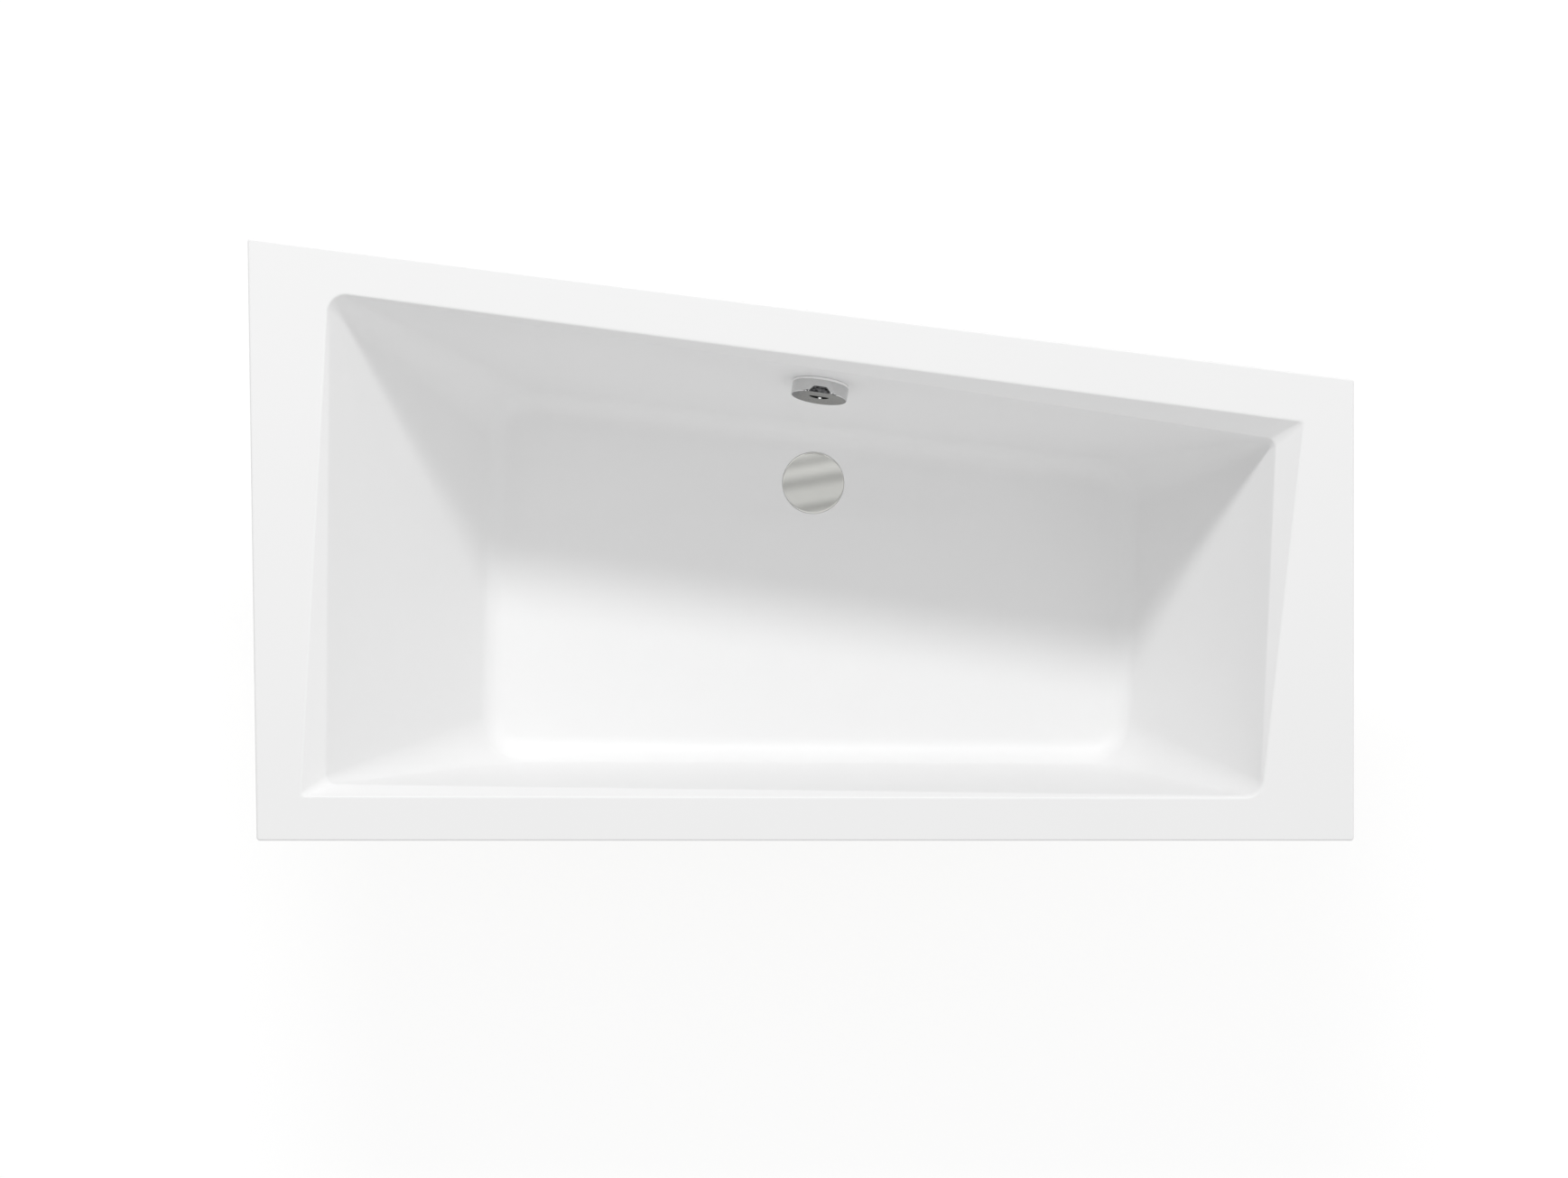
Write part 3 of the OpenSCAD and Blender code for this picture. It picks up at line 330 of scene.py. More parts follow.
    def fillet_ring(self, s: float, thick: float) -> Ring:
        """Draws ring s of the fillet between the walls and the floor.

        Args:
            s: From 0 at the wall to 1 at the floor.
            thick: How far the ring lies outside the basin's surface.

        Returns:
            The ring's points.
        """
        centre, radius = self.floor_z + self.floor_fillet, self.floor_fillet + thick
        insets, rises = [], []
        for k in range(4):
            turn = mix(self.wall_lean(k), math.pi / 2, s)
            insets.append(self.fillet_reach(k) - radius * math.cos(turn))
            rises.append(centre - radius * math.sin(turn))
        return self.inset_floor(insets, rises)

    def floor_ring(self, hold: float) -> Ring:
        """Returns the level ring that lies hold inside the fillet's end on the floor."""
        return self.inset_floor([self.fillet_reach(k) + hold for k in range(4)], [self.floor_z] * 4)

    def basin_edge(self, thick: float) -> Ring:
        """Draws the basin's upper edge.

        Args:
            thick: How far the ring lies outside the basin's surface.

        Returns:
            The ring's points.
        """
        moves = [thick / math.cos(self.wall_lean(k)) for k in range(4)]
        heights = [self.rim_height - d - self.edge_radius - thick for d in self.basin_drops]
        return self.mesh.ring(
            moved(self.basin_corners, moves),
            [r + thick for r in self.basin_radii],
            [(z, z) for z in heights],
        )

    @property
    def middle(self) -> Vector:
        """The middle of the rim's outline, which lies over the origin."""
        outline = self.mesh.flat(self.rim_corners, [self.rim_corner_radius] * 4, 0)
        xs, ys = [p.x for p in outline], [p.y for p in outline]
        return Vector(((min(xs) + max(xs)) / 2, (min(ys) + max(ys)) / 2, 0))


# ---------------------------------------------------------------- shader groups


class Graph:
    """A node tree, either a material's or a group's, with short ways to add and join nodes."""

    COLOUR_A, COLOUR_B, COLOUR_RESULT = 6, 7, 2

    def __init__(self, tree: bpy.types.NodeTree) -> None:
        """Keeps the tree to work on."""
        self.tree = tree

    def put(self, socket: Socket, value: Input) -> None:
        """Gives an input a plain value, or joins it to an output.

        Args:
            socket: The input.
            value: The value, or the output to join.
        """
        if isinstance(value, Socket):
            self.tree.links.new(value, socket)
        else:
            socket.default_value = value

    def add(self, kind: str, **settings: str | bool) -> bpy.types.Node:
        """Adds a node.

        Args:
            kind: The node's type name, without its ShaderNode prefix.
            settings: Properties of the node.

        Returns:
            The new node.
        """
        node = self.tree.nodes.new("ShaderNode" + kind)
        for key, value in settings.items():
            setattr(node, key, value)
        return node

    def set(self, node: bpy.types.Node, **values: Input) -> bpy.types.Node:
        """Sets inputs by name, with underscores for spaces, or joins them to an output.

        Args:
            node: The node whose inputs are set.
            values: A value, or an output to join, for each input.

        Returns:
            The same node.
        """
        for key, value in values.items():
            self.put(node.inputs[key.replace("_", " ")], value)
        return node

    def math(self, operation: str, *values: Input) -> Socket:
        """Adds a Math node.

        Args:
            operation: The node's operation.
            values: Numbers or outputs, one for each input.

        Returns:
            The node's output.
        """
        node = self.add("Math", operation=operation)
        for socket, value in zip(node.inputs, values):
            self.put(socket, value)
        return node.outputs[0]

    def mixed(self, factor: Input, a: Input, b: Input) -> Socket:
        """Adds a Mix node for colours.

        Args:
            factor: The share of b, or an output to take it from.
            a: First colour or output.
            b: Second colour or output.

        Returns:
            The mixed colour's output.
        """
        node = self.add("Mix", data_type="RGBA")
        for at, value in ((0, factor), (self.COLOUR_A, a), (self.COLOUR_B, b)):
            self.put(node.inputs[at], value)
        return node.outputs[self.COLOUR_RESULT]

    def ramp(self, value: Socket, low: float, high: float) -> Socket:
        """Stretches a value so that low becomes 0 and high becomes 1, and keeps it between them.

        Args:
            value: The value's output.
            low: What becomes 0.
            high: What becomes 1.

        Returns:
            The stretched value's output.
        """
        node = self.add("MapRange", clamp=True)
        self.set(node, Value=value, From_Min=low, From_Max=high, To_Min=0.0, To_Max=1.0)
        return node.outputs[0]

    def within(self, share: Socket, low: Socket, high: Socket) -> Socket:
        """Returns the value that lies the share of the way from low to high."""
        return self.math("MULTIPLY_ADD", share, self.math("SUBTRACT", high, low), low)

    def place(self, **values: tuple[float, float, float]) -> Socket:
        """Returns the object's own coordinates, stretched, turned or shifted as values say."""
        mapping = self.set(
            self.add("Mapping"), Vector=self.add("TexCoord").outputs["Object"], **values
        )
        return mapping.outputs[0]

    def cell_tones(self, place: Socket, scale: float) -> list[Socket]:
        """Splits the random colours of a cell pattern into tones.

        Args:
            place: The coordinates.
            scale: The pattern's scale.

        Returns:
            Three random tones for each cell.
        """
        cells = self.set(self.add("TexVoronoi"), Vector=place, Scale=scale)
        tones = self.set(self.add("SeparateColor"), Color=cells.outputs["Color"])
        return list(tones.outputs)

    def bump(self, height: Socket, depth: Input, strength: float = 1.0) -> Input:
        """Returns the normal of a surface that height raises by up to depth, in metres."""
        node = self.set(self.add("Bump"), Height=height, Distance=depth, Strength=strength)
        return node.outputs[0]


def new_group(
    name: str, inputs: dict[str, float], outputs: dict[str, str]
) -> tuple[Graph, bpy.types.Node, bpy.types.Node]:
    """Starts a shader group with number inputs.

    Args:
        name: The group's name.
        inputs: The inputs' names and their starting values.
        outputs: The outputs' names and their socket types.

    Returns:
        The group's graph, its input node and its output node.
    """
    tree = bpy.data.node_groups.new(name, "ShaderNodeTree")
    for label, value in inputs.items():
        socket = tree.interface.new_socket(label, in_out="INPUT", socket_type="NodeSocketFloat")
        socket.default_value = value
    for label, kind in outputs.items():
        tree.interface.new_socket(label, in_out="OUTPUT", socket_type=kind)
    entry = tree.nodes.new("NodeGroupInput")
    leave = tree.nodes.new("NodeGroupOutput")
    return Graph(tree), entry, leave


class Effects:
    """The shader groups that several finishes share, each built once."""

    RANGE = {"Scale": 60.0, "Low": 0.0, "High": 1.0}
    MASK = {"Scale": 40.0, "Amount": 0.5}
    FLOAT = "NodeSocketFloat"
    VECTOR = "NodeSocketVector"
    PATCH_EDGE = (0.32, 0.68)
    STREAK_EDGE = (0.35, 0.65)
    STREAK_STRETCH = (0.05, 1.0, 1.0)
    LINE_WIDTH = (0.0, 0.012)
    LINE_PLACES = (0.5, 0.7)
    FACES_UP = (0.3, 0.95)
    DUST_EDGE = (0.35, 0.7)

    def __init__(self) -> None:
        """Builds the groups."""
        self.patches = self.build_patches()
        self.grain = self.build_grain()
        self.streaks = self.build_streaks()
        self.scratches = self.build_scratches()
        self.low_dust = self.build_low_dust()

    @staticmethod
    def noise(g: Graph, scale: Input, detail: float, stretch: Colour = (1.0, 1.0, 1.0)) -> Socket:
        """Adds a noise texture on the object's own coordinates.

        Args:
            g: The graph.
            scale: Its scale, or an output to take it from.
            detail: Its detail.
            stretch: Scale along each axis before the noise.

        Returns:
            The noise value's output.
        """
        noise = g.add("TexNoise")
        g.set(noise, Vector=g.place(Scale=stretch), Scale=scale, Detail=detail, Roughness=0.55)
        return noise.outputs[0]

    def build_patches(self) -> bpy.types.NodeTree:
        """Builds soft patches, from Low to High, that vary a colour or a roughness.

        Returns:
            The group.
        """
        g, entry, leave = new_group("soft_patches", self.RANGE, {"Value": self.FLOAT})
        scale, low, high = entry.outputs[:3]
        patches = g.ramp(self.noise(g, scale, 4), *self.PATCH_EDGE)
        g.put(leave.inputs[0], g.within(patches, low, high))
        return g.tree

    def build_grain(self) -> bpy.types.NodeTree:
        """Builds a fine bumpy surface, such as moulded plastic or a cast skin.

        Returns:
            The group.
        """
        start = {"Scale": 900.0, "Depth": 0.00005}
        g, entry, leave = new_group("fine_grain", start, {"Normal": self.VECTOR})
        scale, depth = entry.outputs[:2]
        g.put(leave.inputs[0], g.bump(self.noise(g, scale, 3), depth))
        return g.tree

    def build_streaks(self) -> bpy.types.NodeTree:
        """Builds long streaks along X, such as wood fibres or brushing.

        Returns:
            The group.
        """
        g, entry, leave = new_group("long_streaks", self.RANGE, {"Value": self.FLOAT})
        scale, low, high = entry.outputs[:3]
        streaks = g.ramp(self.noise(g, scale, 5, self.STREAK_STRETCH), *self.STREAK_EDGE)
        g.put(leave.inputs[0], g.within(streaks, low, high))
        return g.tree

    def build_scratches(self) -> bpy.types.NodeTree:
        """Builds thin rubbed lines that show where metal or plastic has been handled.

        Returns:
            The group.
        """
        g, entry, leave = new_group("rubbed_lines", self.MASK, {"Mask": self.FLOAT})
        scale, amount = entry.outputs[:2]
        place = g.place(Scale=(0.6, 1.0, 3.0), Rotation=(0.4, 0.7, 0.2))
        cells = g.set(g.add("TexVoronoi", feature="DISTANCE_TO_EDGE"), Vector=place, Scale=scale)
        line = g.math("SUBTRACT", 1.0, g.ramp(cells.outputs["Distance"], *self.LINE_WIDTH))
        where = g.ramp(self.noise(g, 30.0, 3), *self.LINE_PLACES)
        g.put(leave.inputs[0], g.math("MULTIPLY", g.math("MULTIPLY", line, where), amount))
        return g.tree

    def build_low_dust(self) -> bpy.types.NodeTree:
        """Builds dust that settles on what faces up, broken into patches.

        Returns:
            The group.
        """
        g, entry, leave = new_group("settled_dust", self.MASK, {"Mask": self.FLOAT})
        scale, amount = entry.outputs[:2]
        parts = g.set(g.add("SeparateXYZ"), Vector=g.add("NewGeometry").outputs["Normal"])
        up = g.ramp(parts.outputs["Z"], *self.FACES_UP)
        cover = g.ramp(self.noise(g, scale, 5), *self.DUST_EDGE)
        g.put(leave.inputs[0], g.math("MULTIPLY", g.math("MULTIPLY", up, cover), amount))
        return g.tree


# ---------------------------------------------------------------- finishes


def rgba(colour: Colour, shade: float = 1.0) -> tuple[float, float, float, float]:
    """Returns a colour, darkened or lightened by shade, with full alpha."""
    return (colour[0] * shade, colour[1] * shade, colour[2] * shade, 1.0)


@dataclass(frozen=True)
class Finish:
    """What every finish has: a name, a colour, a roughness and how much both vary.

    The roughness has finer patches than the colour. In all finishes, a pair named edge or width
    says where a pattern's mask starts and where it is full.
    """

    name: str
    colour: Colour
    roughness: float
    colour_play: float = 0.04
    roughness_play: float = 0.05
    patch_scale: float = 8.0
    grain_scale: float = 900.0
    grain_depth: float = 0.00002
    metallic: float = 0.0
    ior: float = 1.5
    finer: float = 2.3

    def start(self) -> tuple[bpy.types.Material, Graph, bpy.types.Node]:
        """Makes the material with its shader.

        Returns:
            The material, its graph and its Principled BSDF.
        """
        material = bpy.data.materials.new(self.name)
        material.use_nodes = True
        material.diffuse_color = rgba(self.colour)
        g = Graph(material.node_tree)
        shader = material.node_tree.nodes["Principled BSDF"]
        shader.inputs["Metallic"].default_value = self.metallic
        shader.inputs["IOR"].default_value = self.ior
        return material, g, shader

    @staticmethod
    def group(g: Graph, tree: bpy.types.NodeTree, **values: Input) -> Socket:
        """Places a shared effect.

        Args:
            g: The material's graph.
            tree: The effect's group.
            values: The group's inputs.

        Returns:
            The group's first output.
        """
        node = g.add("Group")
        node.node_tree = tree
        g.set(node, **values)
        return node.outputs[0]

    def colour_socket(self, g: Graph, effects: Effects) -> Socket:
        """Draws the finish's colour with soft lighter and darker patches.

        Args:
            g: The material's graph.
            effects: The shared shader groups.

        Returns:
            The colour's output.
        """
        patch = self.group(g, effects.patches, Scale=self.patch_scale, Low=0.0, High=1.0)
        dark = rgba(self.colour, 1 - self.colour_play)
        return g.mixed(patch, dark, rgba(self.colour, 1 + self.colour_play * 0.5))

    def rough_between(self, g: Graph, tree: bpy.types.NodeTree, scale: float) -> Socket:
        """Varies the roughness by its play.

        Args:
            g: The material's graph.
            tree: The group that draws the pattern.
            scale: The pattern's scale.

        Returns:
            The roughness's output.
        """
        low, high = self.roughness - self.roughness_play, self.roughness + self.roughness_play
        return self.group(g, tree, Scale=scale, Low=low, High=high)

    def roughness_socket(self, g: Graph, effects: Effects) -> Socket:
        """Returns the finish's roughness with its soft patches."""
        return self.rough_between(g, effects.patches, self.patch_scale * self.finer)

    def normal_socket(self, g: Graph, effects: Effects) -> Socket:
        """Returns the finish's fine grain."""
        return self.group(g, effects.grain, Scale=self.grain_scale, Depth=self.grain_depth)

    def build(self, effects: Effects) -> bpy.types.Material:
        """Builds the material.

        Args:
            effects: The shared shader groups.

        Returns:
            The material.
        """
        material, g, shader = self.start()
        g.set(
            shader,
            Base_Color=self.colour_socket(g, effects),
            Roughness=self.roughness_socket(g, effects),
            Normal=self.normal_socket(g, effects),
        )
        return material


@dataclass(frozen=True)
class WornFinish(Finish):
    """A finish with rubbed lines and a little settled dust."""

    rubbed: Colour = (0.5, 0.5, 0.5)
    rubbed_amount: float = 0.3
    rubbed_scale: float = 45.0
    dust: Colour = (0.55, 0.53, 0.49)
    dust_amount: float = 0.2
    dust_scale: float = 25.0

    def colour_socket(self, g: Graph, effects: Effects) -> Socket:
        """Lays rubbed lines and dust over the patched colour.

        Args:
            g: The material's graph.
            effects: The shared shader groups.

        Returns:
            The colour's output.
        """
        base = super().colour_socket(g, effects)
        scale, amount = self.rubbed_scale, self.rubbed_amount
        lines = self.group(g, effects.scratches, Scale=scale, Amount=amount)
        rubbed = g.mixed(lines, base, rgba(self.rubbed))
        dust = self.group(g, effects.low_dust, Scale=self.dust_scale, Amount=self.dust_amount)
        return g.mixed(dust, rubbed, rgba(self.dust))


@dataclass(frozen=True)
class AcrylicFinish(Finish):
    """Gloss sanitary acrylic: nearly even, with a faint waviness from the forming."""

    wave_scale: float = 5.0
    wave_depth: float = 0.00008

    def normal_socket(self, g: Graph, effects: Effects) -> Socket:
        """Returns the slow waves of formed sheet."""
        noise = g.set(g.add("TexNoise"), Vector=g.place(), Scale=self.wave_scale, Detail=1.0)
        return g.bump(noise.outputs[0], self.wave_depth)


@dataclass(frozen=True)
class WoodFinish(Finish):
    """Planed softwood with fibres along the piece's own length."""

    late_wood: Colour = (0.42, 0.27, 0.13)
    late_edge: tuple[float, float] = (0.35, 1.0)
    ring_stretch: tuple[float, float, float] = (0.25, 5.0, 6.0)
    ring_tilt: tuple[float, float] = (0.05, 0.03)
    fibre_scale: float = 220.0
    fibre_share: float = 0.25
    fibre_shade: float = 0.8
    along_y: bool = False

    def colour_socket(self, g: Graph, effects: Effects) -> Socket:
        """Draws growth rings out along the wood, with fibres over them.

        Args:
            g: The material's graph.
            effects: The shared shader groups.

        Returns:
            The colour's output.
        """
        turn = math.pi / 2 if self.along_y else 0.0
        place = g.place(Scale=self.ring_stretch, Rotation=(*self.ring_tilt, turn))
        wave = g.add("TexWave", wave_type="RINGS", rings_direction="X")
        g.set(wave, Vector=place, Scale=9.0, Distortion=3.0, Detail=3.0, Detail_Scale=1.4)
        late = g.ramp(wave.outputs["Fac"], *self.late_edge)
        rings = g.mixed(late, rgba(self.colour), rgba(self.late_wood))
        share = self.fibre_share
        fibres = self.group(g, effects.streaks, Scale=self.fibre_scale, Low=0.0, High=share)
        return g.mixed(fibres, rings, rgba(self.late_wood, self.fibre_shade))


@dataclass(frozen=True)
class ChipboardFinish(Finish):
    """Pressed chips of several sizes and tones."""

    dark_chip: Colour = (0.30, 0.19, 0.10)
    pale_chip: Colour = (0.68, 0.52, 0.33)
    chip_scale: float = 260.0
    chip_stretch: tuple[float, float, float] = (1.0, 1.8, 2.5)
    dark_edge: tuple[float, float] = (0.72, 0.95)

    def colour_socket(self, g: Graph, effects: Effects) -> Socket:
        """Draws cells of mixed tones, drawn out a little like wood chips.

        Args:
            g: The material's graph.
            effects: The shared shader groups, of which it needs none.

        Returns:
            The colour's output.
        """
        tone = g.cell_tones(g.place(Scale=self.chip_stretch), self.chip_scale)
        base = g.mixed(tone[0], rgba(self.colour), rgba(self.pale_chip))
        return g.mixed(g.ramp(tone[1], *self.dark_edge), base, rgba(self.dark_chip))


@dataclass(frozen=True)
class LaminateFinish(Finish):
    """Glass-fibre laminate: chopped strands wetted out with resin."""

    strand: Colour = (0.86, 0.85, 0.76)
    strand_scale: float = 55.0
    strand_stretch: tuple[float, float, float] = (0.35, 2.4, 2.4)
    strand_width: tuple[float, float] = (0.0, 0.09)
    strand_height: float = 0.0006
    strand_relief: float = 0.8
    layers: tuple[tuple[float, float], ...] = ((0.5, 0.0), (-0.9, 3.1), (1.6, 7.7))

    def strands(self, g: Graph) -> Socket:
        """Crosses the strands of three layers, each of cells stretched in its own direction.

        Args:
            g: The material's graph.

        Returns:
            The mask of the strands.
        """
        masks = []
        for turn, shift in self.layers:
            place = g.place(
                Location=(shift, shift, 0.0),
                Rotation=(0.6, turn, turn * 1.3),
                Scale=self.strand_stretch,
            )
            cells = g.add("TexVoronoi", feature="DISTANCE_TO_EDGE")
            g.set(cells, Vector=place, Scale=self.strand_scale)
            between = g.ramp(cells.outputs["Distance"], *self.strand_width)
            masks.append(g.math("SUBTRACT", 1.0, between))
        return g.math("MAXIMUM", masks[0], g.math("MAXIMUM", masks[1], masks[2]))

    def build(self, effects: Effects) -> bpy.types.Material:
        """Builds the laminate, whose strands show in its colour and stand up a little.

        Args:
            effects: The shared shader groups.

        Returns:
            The material.
        """
        material, g, shader = self.start()
        strands = self.strands(g)
        g.set(
            shader,
            Base_Color=g.mixed(strands, self.colour_socket(g, effects), rgba(self.strand)),
            Roughness=self.roughness_socket(g, effects),
            Normal=g.bump(strands, self.strand_height, self.strand_relief),
        )
        return material


@dataclass(frozen=True)
class SpangledFinish(Finish):
    """Hot-dip galvanised sheet with its crystal spangles."""

    spangle_scale: float = 130.0
    spangle_tones: tuple[float, float] = (0.86, 1.08)
    dust: Colour = (0.5, 0.48, 0.45)
    dust_amount: float = 0.25
    dust_scale: float = 30.0

    def build(self, effects: Effects) -> bpy.types.Material:
        """Builds the sheet, whose crystals differ in tone and in roughness.

        Args:
            effects: The shared shader groups.

        Returns:
            The material.
        """
        material, g, shader = self.start()
        tone = g.cell_tones(g.place(), self.spangle_scale)
        base = g.mixed(tone[0], *(rgba(self.colour, shade) for shade in self.spangle_tones))
        dust = self.group(g, effects.low_dust, Scale=self.dust_scale, Amount=self.dust_amount)
        g.set(
            shader,
            Base_Color=g.mixed(dust, base, rgba(self.dust)),
            Roughness=g.math("MULTIPLY_ADD", tone[1], self.roughness_play, self.roughness),
            Normal=self.normal_socket(g, effects),
        )
        return material


@dataclass(frozen=True)
class BrushedFinish(Finish):
    """Metal with fine brushing or turning marks in its roughness."""

    streak_scale: float = 300.0

    def roughness_socket(self, g: Graph, effects: Effects) -> Socket:
        """Returns a roughness in long streaks."""
        return self.rough_between(g, effects.streaks, self.streak_scale)


@dataclass(frozen=True)
class MottledFinish(Finish):
    """Polished metal whose colour breaks up into light and dark spots: painted glints and painted reflections."""

    other: Colour = (1.0, 1.0, 1.0)
    contrast: float = 1.5

    def colour_socket(self, g: Graph, effects: Effects) -> Socket:
        """Draws spots of the two colours.

        Args:
            g: The material's graph.
            effects: The shared shader groups.

        Returns:
            The colour's output.
        """
        low, high = -self.contrast, 1 + self.contrast
        spots = self.group(g, effects.patches, Scale=self.patch_scale, Low=low, High=high)
        return g.mixed(spots, rgba(self.colour), rgba(self.other))


class KnobFinish(Enum):
    """The finishes of the knob's surfaces, in the order of its material slots."""

    BAND = BrushedFinish("knob_band", (0.64, 0.64, 0.64), 0.2, 0.03, 0.03, 60.0, metallic=1.0)
    # Painted shade: the face is the same metal as the band, its colour darkened to stand in for the darker
    # reflection that it shows.
    FACE = BrushedFinish("knob_face", (0.075, 0.075, 0.078), 0.16, 0.05, 0.03, 60.0, metallic=1.0)
    # Painted shade: the notch's inside is coloured near black for the shade in it, with lighter spots as painted
    # reflections.
    RECESS = MottledFinish(
        "knob_recess",
        (0.012, 0.012, 0.013),
        0.2,
        patch_scale=240.0,
        metallic=1.0,
        other=(0.17, 0.17, 0.175),
        contrast=0.4,
    )
    # Painted glints: bright spots in the colour of the knob's bevelled edges stand in for highlights.
    EDGE = MottledFinish(
        "knob_edge", (0.05, 0.05, 0.05), 0.1, patch_scale=290.0, metallic=1.0, contrast=2.5
    )
    # Painted shade: the slot is a matte near-black for the shade inside it.
    SLOT = Finish("knob_slot", (0.015, 0.015, 0.015), 0.7, ior=1.1)
    SCREW = Finish("knob_screw", (0.97, 0.97, 0.97), 0.06, 0.01, 0.01, metallic=1.0)
    SKIRT = Finish("knob_skirt", (0.95, 0.95, 0.95), 0.3, 0.01, 0.03)


FINISHES: dict[str, Finish] = {
    "acrylic": AcrylicFinish(
        "white_acrylic", (0.872, 0.872, 0.872), 0.5, 0.004, 0.01, 3.0, ior=1.49
    ),
    "laminate": LaminateFinish("fibre_laminate", (0.66, 0.62, 0.47), 0.42, 0.10, 0.08, 14.0),
    "board": ChipboardFinish("raw_chipboard", (0.50, 0.35, 0.20), 0.8, 0.1, 0.06, 20.0),
    "batten": WoodFinish("softwood_along", (0.70, 0.52, 0.31), 0.62, 0.08, 0.06, 9.0),
    "batten_end": WoodFinish(
        "softwood_across", (0.70, 0.52, 0.31), 0.62, 0.08, 0.06, 9.0, along_y=True
    ),
    "rail": SpangledFinish("galvanised_sheet", (0.66, 0.67, 0.68), 0.34, 0.08, 0.16, metallic=1.0),
    "zinc_steel": BrushedFinish(
        "zinc_plated_steel", (0.74, 0.75, 0.77), 0.3, 0.07, 0.07, 30.0, metallic=1.0
    ),
    "foot_plastic": WornFinish(
        "black_plastic", (0.035, 0.035, 0.038), 0.5, 0.1, 0.07, 30.0, 700.0, 0.00004
    ),
    "chrome": BrushedFinish(
        "polished_chrome", (0.92, 0.92, 0.882), 0.07, 0.02, 0.02, 20.0, metallic=1.0
    ),
    "flange_plastic": Finish(
        "satin_chrome", (0.62, 0.63, 0.64), 0.25, 0.03, 0.04, 20.0, metallic=1.0
    ),
    "seal_rubber": Finish(
        "black_rubber", (0.025, 0.025, 0.026), 0.65, 0.12, 0.08, 40.0, 900.0, 0.00005
    ),
    "fitting_plastic": WornFinish(
        *("white_polypropylene", (0.82, 0.82, 0.80), 0.38, 0.03, 0.06, 18.0, 500.0, 0.00003),
        rubbed=(0.6, 0.6, 0.58),
        rubbed_amount=0.15,
        dust_amount=0.15,
    ),
    "hose": WornFinish(
        "grey_hose_plastic", (0.50, 0.51, 0.52), 0.42, 0.05, 0.06, 25.0, rubbed_amount=0.1
    ),
    "sheath": Finish("black_sheath", (0.03, 0.03, 0.033), 0.45, 0.1, 0.06, 60.0),
    "nylon": Finish("natural_nylon", (0.80, 0.77, 0.68), 0.4, 0.04, 0.06, 30.0),
    "dark_steel": BrushedFinish(
        "blackened_steel", (0.16, 0.16, 0.17), 0.4, 0.1, 0.08, 40.0, metallic=1.0
    ),
}


# ---------------------------------------------------------------- mesh tools


class Cut(Enum):
    """How a boolean joins two shapes."""

    DIFFERENCE = "DIFFERENCE"
    UNION = "UNION"


